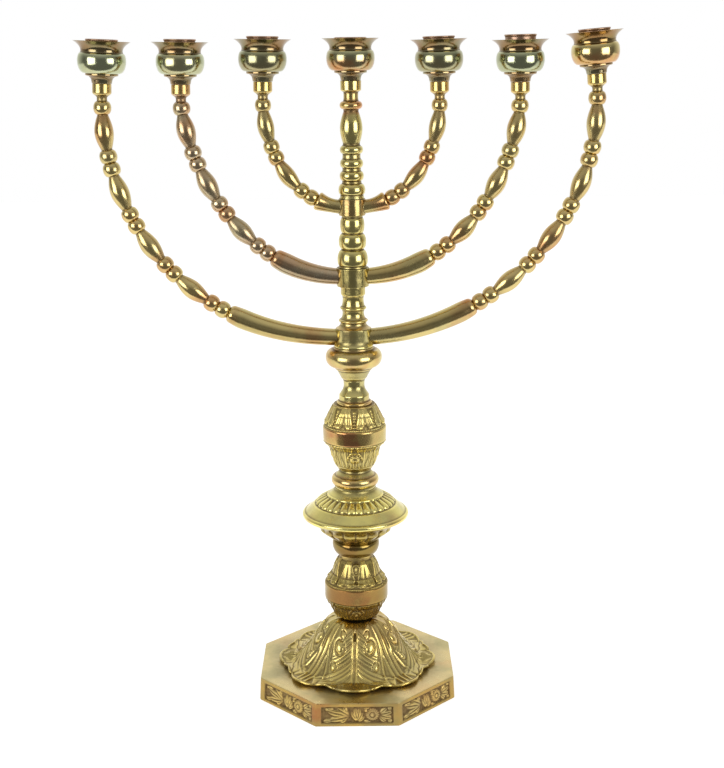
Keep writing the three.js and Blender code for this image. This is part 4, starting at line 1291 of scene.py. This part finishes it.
def new_group(name, inputs, outputs):
    """An empty node group with named inputs and outputs."""
    group = bpy.data.node_groups.new(name, "ShaderNodeTree")
    for label, kind, default in inputs:
        socket = group.interface.new_socket(label, in_out="INPUT", socket_type=kind)
        if default is not None:
            socket.default_value = default
    for label, kind in outputs:
        group.interface.new_socket(label, in_out="OUTPUT", socket_type=kind)
    return group, add(group, "NodeGroupInput").outputs, add(group, "NodeGroupOutput").inputs


VALUE = "NodeSocketFloat"
COLOUR = "NodeSocketColor"
VECTOR = "NodeSocketVector"
WHITE = (1.0, 1.0, 1.0, 1.0)


def cloud_group():
    """Soft blotches: noise stretched between two levels."""
    group, given, made = new_group(
        "blotches",
        [("Vector", VECTOR, None), ("Scale", VALUE, 40.0), ("Low", VALUE, 0.45), ("High", VALUE, 0.6)],
        [("Mask", VALUE)],
    )
    noise = add(
        group,
        "ShaderNodeTexNoise",
        {"Vector": given["Vector"], "Scale": given["Scale"], "Detail": 4.0, "Roughness": 0.55},
    )
    ramp = add(
        group,
        "ShaderNodeMapRange",
        {0: noise.outputs[0], 1: given["Low"], 2: given["High"]},
        interpolation_type="SMOOTHSTEP",
    )
    group.links.new(ramp.outputs[0], made["Mask"])
    return group


# Blotches of the aged brass: scale, the two levels that the noise is stretched between, and shift
BLOTCHES = {
    "tarnish": (34.0, 0.42, 0.66, 0.3),
    "copper": (26.0, 0.5, 0.68, 1.7),
    "blush": (60.0, 0.35, 0.6, 3.1),
    "speck": (420.0, 0.3, 0.75, 5.3),
}
# Painted shade and a darker tone: the tint that the shade mark multiplies the colour by
SHADE_TINT = (0.42, 0.36, 0.28, 1.0)
SHINE_TINT = (1.5, 1.45, 1.3, 1.0)
LATHE_SCALE = 2600.0
PIT_SCALE = 260.0
WAVE_SCALE = 75.0
BUMP_DISTANCE = 0.08 * MM
PATINAS = ("Tarnish", "Copper", "Gilt", "Grime")
FINISH_INPUTS = {
    "Tarnish share": 0.5,
    "Copper share": 0.3,
    "Grime share": 0.8,
    "Polish": 0.2,
    "Dullness": 0.3,
    "Lathe lines": 0.1,
    "Waviness": 1.0,
}


def aged_group(blotches):
    """Old brass: tarnish and copper patches, painted shade from the shade mark, grime in the recesses, bright
    ridges, and fine scratches.
    """
    inputs = [("Vector", VECTOR, None), ("Base", COLOUR, WHITE)]
    inputs += [(name, COLOUR, WHITE) for name in PATINAS]
    inputs += [(name, VALUE, default) for name, default in FINISH_INPUTS.items()]
    outputs = [("Colour", COLOUR), ("Roughness", VALUE), ("Normal", VECTOR)]
    group, given, made = new_group("aged_brass", inputs, outputs)

    def blotch(name):
        """The mask of one kind of blotch."""
        *levels, shift = BLOTCHES[name]
        moved = add(group, "ShaderNodeVectorMath", {0: given["Vector"], 1: (shift, 2 * shift, 0.0)})
        values = {"Vector": moved.outputs[0], **dict(zip(("Scale", "Low", "High"), levels))}
        return add(group, "ShaderNodeGroup", values, node_tree=blotches).outputs[0]

    def noise(scale, detail):
        """Noise in space."""
        return add(group, "ShaderNodeTexNoise", {"Vector": given["Vector"], "Scale": scale, "Detail": detail})

    marks = {
        key: add(group, "ShaderNodeAttribute", attribute_name=key).outputs["Fac"]
        for key in ("recess", "ridge", "warm", "gilt", "shade", "way")
    }
    plain = blend(group, marks["gilt"], given["Base"], given["Gilt"])
    stain = sums(group, "MULTIPLY", blotch("tarnish"), given["Tarnish share"])
    colour = blend(group, stain, plain, given["Tarnish"])
    flush = sums(group, "MULTIPLY", blotch("copper"), given["Copper share"])
    patchy = sums(group, "MULTIPLY", marks["warm"], sums(group, "ADD", blotch("blush"), 0.35))
    flush = sums(group, "ADD", flush, patchy, clamp=True)
    colour = blend(group, flush, colour, given["Copper"])
    # The shade mark darkens the colour: painted shade under the disc, on the cups and along the arms' tubes,
    # and a darker tone on other parts.
    shaded = blend(group, 1.0, colour, SHADE_TINT, "MULTIPLY")
    colour = blend(group, marks["shade"], colour, shaded)
    speck = blotch("speck")
    dark = sums(group, "MULTIPLY", marks["recess"], given["Grime share"])
    uneven = sums(group, "MULTIPLY_ADD", speck, 0.3, 0.8)
    dark = sums(group, "MULTIPLY", dark, uneven, clamp=True)
    colour = blend(group, dark, colour, given["Grime"])
    shine = sums(group, "MULTIPLY", marks["ridge"], 0.35)
    colour = blend(group, shine, colour, blend(group, 1.0, colour, SHINE_TINT, "MULTIPLY"))
    group.links.new(colour, made["Colour"])

    dull = sums(group, "MULTIPLY_ADD", speck, 0.5, stain)
    rough = sums(group, "MULTIPLY_ADD", dull, given["Dullness"], given["Polish"])
    rough = sums(group, "MULTIPLY_ADD", marks["recess"], 0.25, rough, clamp=True)
    group.links.new(rough, made["Roughness"])

    values = {"W": marks["way"], "Scale": LATHE_SCALE, "Detail": 2.0}
    rings = add(group, "ShaderNodeTexNoise", values, noise_dimensions="1D")
    pits = noise(PIT_SCALE, 2.0)
    waves = noise(WAVE_SCALE, 1.0)
    height = sums(group, "MULTIPLY", pits.outputs[0], 0.5)
    height = sums(group, "MULTIPLY_ADD", rings.outputs[0], given["Lathe lines"], height)
    height = sums(group, "MULTIPLY_ADD", waves.outputs[0], given["Waviness"], height)
    bump = add(group, "ShaderNodeBump", {"Strength": 1.0, "Distance": BUMP_DISTANCE, "Height": height})
    group.links.new(bump.outputs[0], made["Normal"])
    return group


def metal(name, group, values):
    """A metal whose colour, roughness and normal come from the aged brass group."""
    material = bpy.data.materials.new(name)
    material.use_nodes = True
    tree = material.node_tree
    shader = tree.nodes["Principled BSDF"]
    shader.inputs["Metallic"].default_value = 1.0
    place = add(tree, "ShaderNodeTexCoord")
    values = {"Vector": place.outputs["Object"], **values}
    aged = add(tree, "ShaderNodeGroup", values, node_tree=group)
    for given, made in (("Base Color", "Colour"), ("Roughness", "Roughness"), ("Normal", "Normal")):
        tree.links.new(aged.outputs[made], shader.inputs[given])
    return material


# Each finish: its base colour, and then the amounts of FINISH_INPUTS
FINISHES = {
    "stem": ("brass", 0.5, 0.35, 0.85, 0.14, 0.14, 0.3, 4.0),
    "arm": ("arm", 0.4, 0.6, 0.65, 0.16, 0.14, 0.2, 5.0),
    "grey_arm": ("grey_arm", 0.45, 0.5, 0.65, 0.18, 0.16, 0.2, 5.0),
    "cast": ("cast", 0.4, 0.25, 0.8, 0.19, 0.12, 0.0, 4.0),
    "disc": ("disc", 0.4, 0.3, 0.8, 0.15, 0.1, 0.3, 5.0),
    "base": ("khaki", 0.6, 0.25, 0.85, 0.25, 0.2, 0.0, 5.0),
    "cup": ("cup", 0.5, 0.12, 0.8, 0.1, 0.12, 0.25, 4.0),
    "liner": ("liner", 0.2, 0.2, 0.6, 0.28, 0.2, 0.1, 2.0),
    "steel": ("steel", 0.1, 0.0, 0.6, 0.32, 0.2, 0.1, 1.0),
}


def make_materials(colours):
    """One metal for each finish. Steel tarnishes to its own colour."""
    if "stem" in bpy.data.materials:
        return {key: bpy.data.materials[key] for key in FINISHES}
    group = aged_group(cloud_group())
    made = {}
    for key, (base, *amounts) in FINISHES.items():
        colour_of = {"Base": base, **{name: name.lower() for name in PATINAS}}
        if key == "steel":
            colour_of["Tarnish"] = "steel"
        values = {name: (*getattr(colours, colour), 1) for name, colour in colour_of.items()}
        made[key] = metal(key, group, {**values, **dict(zip(FINISH_INPUTS, amounts))})
    return made


# Studio: the camera was fitted to the octagonal base and the row of cups
CAMERA_PLACE = (7.04 * MM, -1164.9 * MM, 581.7 * MM)
CAMERA_PITCH = 0.2476
CAMERA_ROLL = 0.0098
CAMERA_LENS = 63.38
SENSOR_WIDTH = 36.0
CLIP_START = 0.05
SOFTBOX_DISTANCE = 1.25
SOFTBOX_ANGLES = (-48, 47)
SOFTBOX_SIZE = (0.78, 0.66)
SOFTBOX_HEIGHT = 0.6
SOFTBOX_POWER = 6.5
ROOM_EDGES = (-0.1, 0.85)
ROOM_LIGHT = 0.17
CEILING_EDGES = (-0.02, 0.8)
CEILING_LIGHT = 0.6
BACKDROP_LIGHT = 1.0
FLOOR_FRONT = 0.3
FLOOR_GLOW = 0.62


def add_camera():
    """The camera, which looks down a little and is rolled slightly."""
    data = bpy.data.cameras.new("camera")
    data.lens = CAMERA_LENS
    data.sensor_width = SENSOR_WIDTH
    data.clip_start = CLIP_START
    camera = put("camera", data)
    turn = Matrix.Rotation(math.pi / 2 - CAMERA_PITCH, 4, "X") @ Matrix.Rotation(-CAMERA_ROLL, 4, "Z")
    camera.matrix_world = Matrix.Translation(CAMERA_PLACE) @ turn
    bpy.context.scene.camera = camera


def add_softbox(name, angle):
    """A tall soft lamp that stands at an angle from the front and faces the stem."""
    data = bpy.data.lights.new(name, "AREA")
    data.shape = "RECTANGLE"
    data.size, data.size_y = SOFTBOX_SIZE
    data.energy = SOFTBOX_POWER
    lamp = put(name, data)
    a = math.radians(angle)
    place = (SOFTBOX_DISTANCE * math.sin(a), -SOFTBOX_DISTANCE * math.cos(a), SOFTBOX_HEIGHT)
    turn = Matrix.Rotation(a, 4, "Z") @ Matrix.Rotation(math.pi / 2, 4, "X")
    lamp.matrix_world = Matrix.Translation(place) @ turn
    lamp.visible_camera = False


def add_world():
    """A white backdrop behind and beside the object and a dim room in front of it, in reflections and for
    the light. The camera sees white all round."""
    world = bpy.data.worlds.new("studio")
    bpy.context.scene.world = world
    world.use_nodes = True
    tree = world.node_tree
    place = add(tree, "ShaderNodeTexCoord")
    parts = add(tree, "ShaderNodeSeparateXYZ", {0: place.outputs["Generated"]})
    room = {0: parts.outputs[1], 1: ROOM_EDGES[0], 2: ROOM_EDGES[1], 3: ROOM_LIGHT, 4: BACKDROP_LIGHT}
    depth = add(tree, "ShaderNodeMapRange", room)
    above = {0: parts.outputs[2], 1: CEILING_EDGES[0], 2: CEILING_EDGES[1], 3: 0.0, 4: CEILING_LIGHT}
    ceiling = add(tree, "ShaderNodeMapRange", above)
    light = sums(tree, "MAXIMUM", depth.outputs[0], ceiling.outputs[0])
    path = add(tree, "ShaderNodeLightPath")
    seen = sums(tree, "ADD", path.outputs["Is Camera Ray"], path.outputs["Is Transmission Ray"], clamp=True)
    level = add(tree, "ShaderNodeMix", {0: seen, 2: light, 3: 1.0}, data_type="FLOAT")
    background = tree.nodes["Background"]
    background.inputs["Color"].default_value = WHITE
    tree.links.new(level.outputs[0], background.inputs["Strength"])


def add_floor(size, colour):
    """A pale floor that ends in front of the object. To the camera it is near white, with the object's
    shadow on it."""
    half = size / 2
    front = -FLOOR_FRONT
    mesh = bpy.data.meshes.new("floor")
    corners = [(-half, front, 0), (half, front, 0), (half, half, 0), (-half, half, 0)]
    mesh.from_pydata(corners, [], [(0, 1, 2, 3)])
    floor = put("floor", mesh)
    material = bpy.data.materials.new("floor")
    material.use_nodes = True
    tree = material.node_tree
    shader = tree.nodes["Principled BSDF"]
    shader.inputs["Base Color"].default_value = (*colour, 1)
    shader.inputs["Roughness"].default_value = 0.9
    path = add(tree, "ShaderNodeLightPath")
    glow = add(tree, "ShaderNodeEmission", {"Color": WHITE})
    seen = sums(tree, "ADD", path.outputs["Is Camera Ray"], path.outputs["Is Glossy Ray"], clamp=True)
    strength = sums(tree, "MULTIPLY", seen, FLOOR_GLOW)
    tree.links.new(strength, glow.inputs["Strength"])
    both = add(tree, "ShaderNodeAddShader", {0: shader.outputs[0], 1: glow.outputs[0]})
    tree.links.new(both.outputs[0], tree.nodes["Material Output"].inputs["Surface"])
    mesh.materials.append(material)


class CandelabraOperator:
    """What the operators share: the sizes and the metals."""

    bl_options = {"REGISTER", "UNDO"}

    def prepare(self, context):
        """Reads the sizes, and makes the metals if they are not there yet."""
        self.sizes = context.scene.candelabra_sizes
        self.metals = make_materials(context.scene.candelabra_colours)


class CANDELABRA_OT_stage(bpy.types.Operator):
    """Sets up the camera, the two soft lamps, the room and the floor"""

    bl_idname = "candelabra.stage"
    bl_label = "Studio"

    def execute(self, context):
        context.scene.view_settings.view_transform = "Standard"
        add_camera()
        for name, angle in zip(("softbox_left", "softbox_right"), SOFTBOX_ANGLES):
            add_softbox(name, angle)
        add_world()
        add_floor(context.scene.candelabra_sizes.floor_size, context.scene.candelabra_colours.floor)
        return {"FINISHED"}


class CANDELABRA_OT_base(CandelabraOperator, bpy.types.Operator):
    """Builds the octagonal base with its flowered panels"""

    bl_idname = "candelabra.base"
    bl_label = "Base"

    def execute(self, context):
        self.prepare(context)
        add_base(self.sizes, self.metals)
        return {"FINISHED"}


class CANDELABRA_OT_foot(CandelabraOperator, bpy.types.Operator):
    """Builds the leaf foot"""

    bl_idname = "candelabra.foot"
    bl_label = "Leaf foot"

    def execute(self, context):
        self.prepare(context)
        add_foot(self.sizes, self.metals)
        return {"FINISHED"}


class CANDELABRA_OT_knops(CandelabraOperator, bpy.types.Operator):
    """Builds the two leaf knops"""

    bl_idname = "candelabra.knops"
    bl_label = "Leaf knops"

    def execute(self, context):
        self.prepare(context)
        add_knops(self.sizes, self.metals)
        return {"FINISHED"}


class CANDELABRA_OT_disc(CandelabraOperator, bpy.types.Operator):
    """Builds the wide disc with its tongues"""

    bl_idname = "candelabra.disc"
    bl_label = "Disc"

    def execute(self, context):
        self.prepare(context)
        add_disc(self.sizes, self.metals)
        return {"FINISHED"}


class CANDELABRA_OT_stem(CandelabraOperator, bpy.types.Operator):
    """Builds the plain turnings of the stem and the hubs"""

    bl_idname = "candelabra.stem"
    bl_label = "Stem turnings"

    def execute(self, context):
        self.prepare(context)
        add_stem(self.metals)
        return {"FINISHED"}


class CANDELABRA_OT_arms(CandelabraOperator, bpy.types.Operator):
    """Builds the six arms"""

    bl_idname = "candelabra.arms"
    bl_label = "Arms"

    def execute(self, context):
        self.prepare(context)
        add_arms(self.metals)
        return {"FINISHED"}


class CANDELABRA_OT_cups(CandelabraOperator, bpy.types.Operator):
    """Builds the seven cups with their liners and screws"""

    bl_idname = "candelabra.cups"
    bl_label = "Cups"

    def execute(self, context):
        self.prepare(context)
        add_cups(self.metals)
        return {"FINISHED"}


class CANDELABRA_OT_fasteners(CandelabraOperator, bpy.types.Operator):
    """Builds the tie rod with its washer and nut"""

    bl_idname = "candelabra.fasteners"
    bl_label = "Rod, washer and nut"

    def execute(self, context):
        self.prepare(context)
        add_fasteners(self.metals)
        return {"FINISHED"}


STEPS = (
    CANDELABRA_OT_stage,
    CANDELABRA_OT_base,
    CANDELABRA_OT_foot,
    CANDELABRA_OT_knops,
    CANDELABRA_OT_disc,
    CANDELABRA_OT_stem,
    CANDELABRA_OT_arms,
    CANDELABRA_OT_cups,
    CANDELABRA_OT_fasteners,
)


class CANDELABRA_PT_panel(bpy.types.Panel):
    """Lists the steps that build the candelabra."""

    bl_label = "Candelabra"
    bl_space_type = "VIEW_3D"
    bl_region_type = "UI"
    bl_category = "Candelabra"

    def draw(self, context):
        """Every setting, and then a button for each step."""
        for group in (context.scene.candelabra_sizes, context.scene.candelabra_colours):
            for name in group.__annotations__:
                self.layout.prop(group, name)
        for step in STEPS:
            self.layout.operator(step.bl_idname)


CLASSES = (CandelabraSizes, CandelabraColours, *STEPS, CANDELABRA_PT_panel)


def register():
    """Adds the classes and the settings of the scene."""
    for cls in CLASSES:
        bpy.utils.register_class(cls)
    bpy.types.Scene.candelabra_sizes = PointerProperty(type=CandelabraSizes)
    bpy.types.Scene.candelabra_colours = PointerProperty(type=CandelabraColours)


def unregister():
    """Takes the settings and the classes away again."""
    del bpy.types.Scene.candelabra_colours
    del bpy.types.Scene.candelabra_sizes
    for cls in reversed(CLASSES):
        bpy.utils.unregister_class(cls)


def main():
    """Builds everything."""
    register()
    for step in STEPS:
        getattr(bpy.ops.candelabra, step.bl_idname.split(".")[1])()


if __name__ == "__main__":
    main()
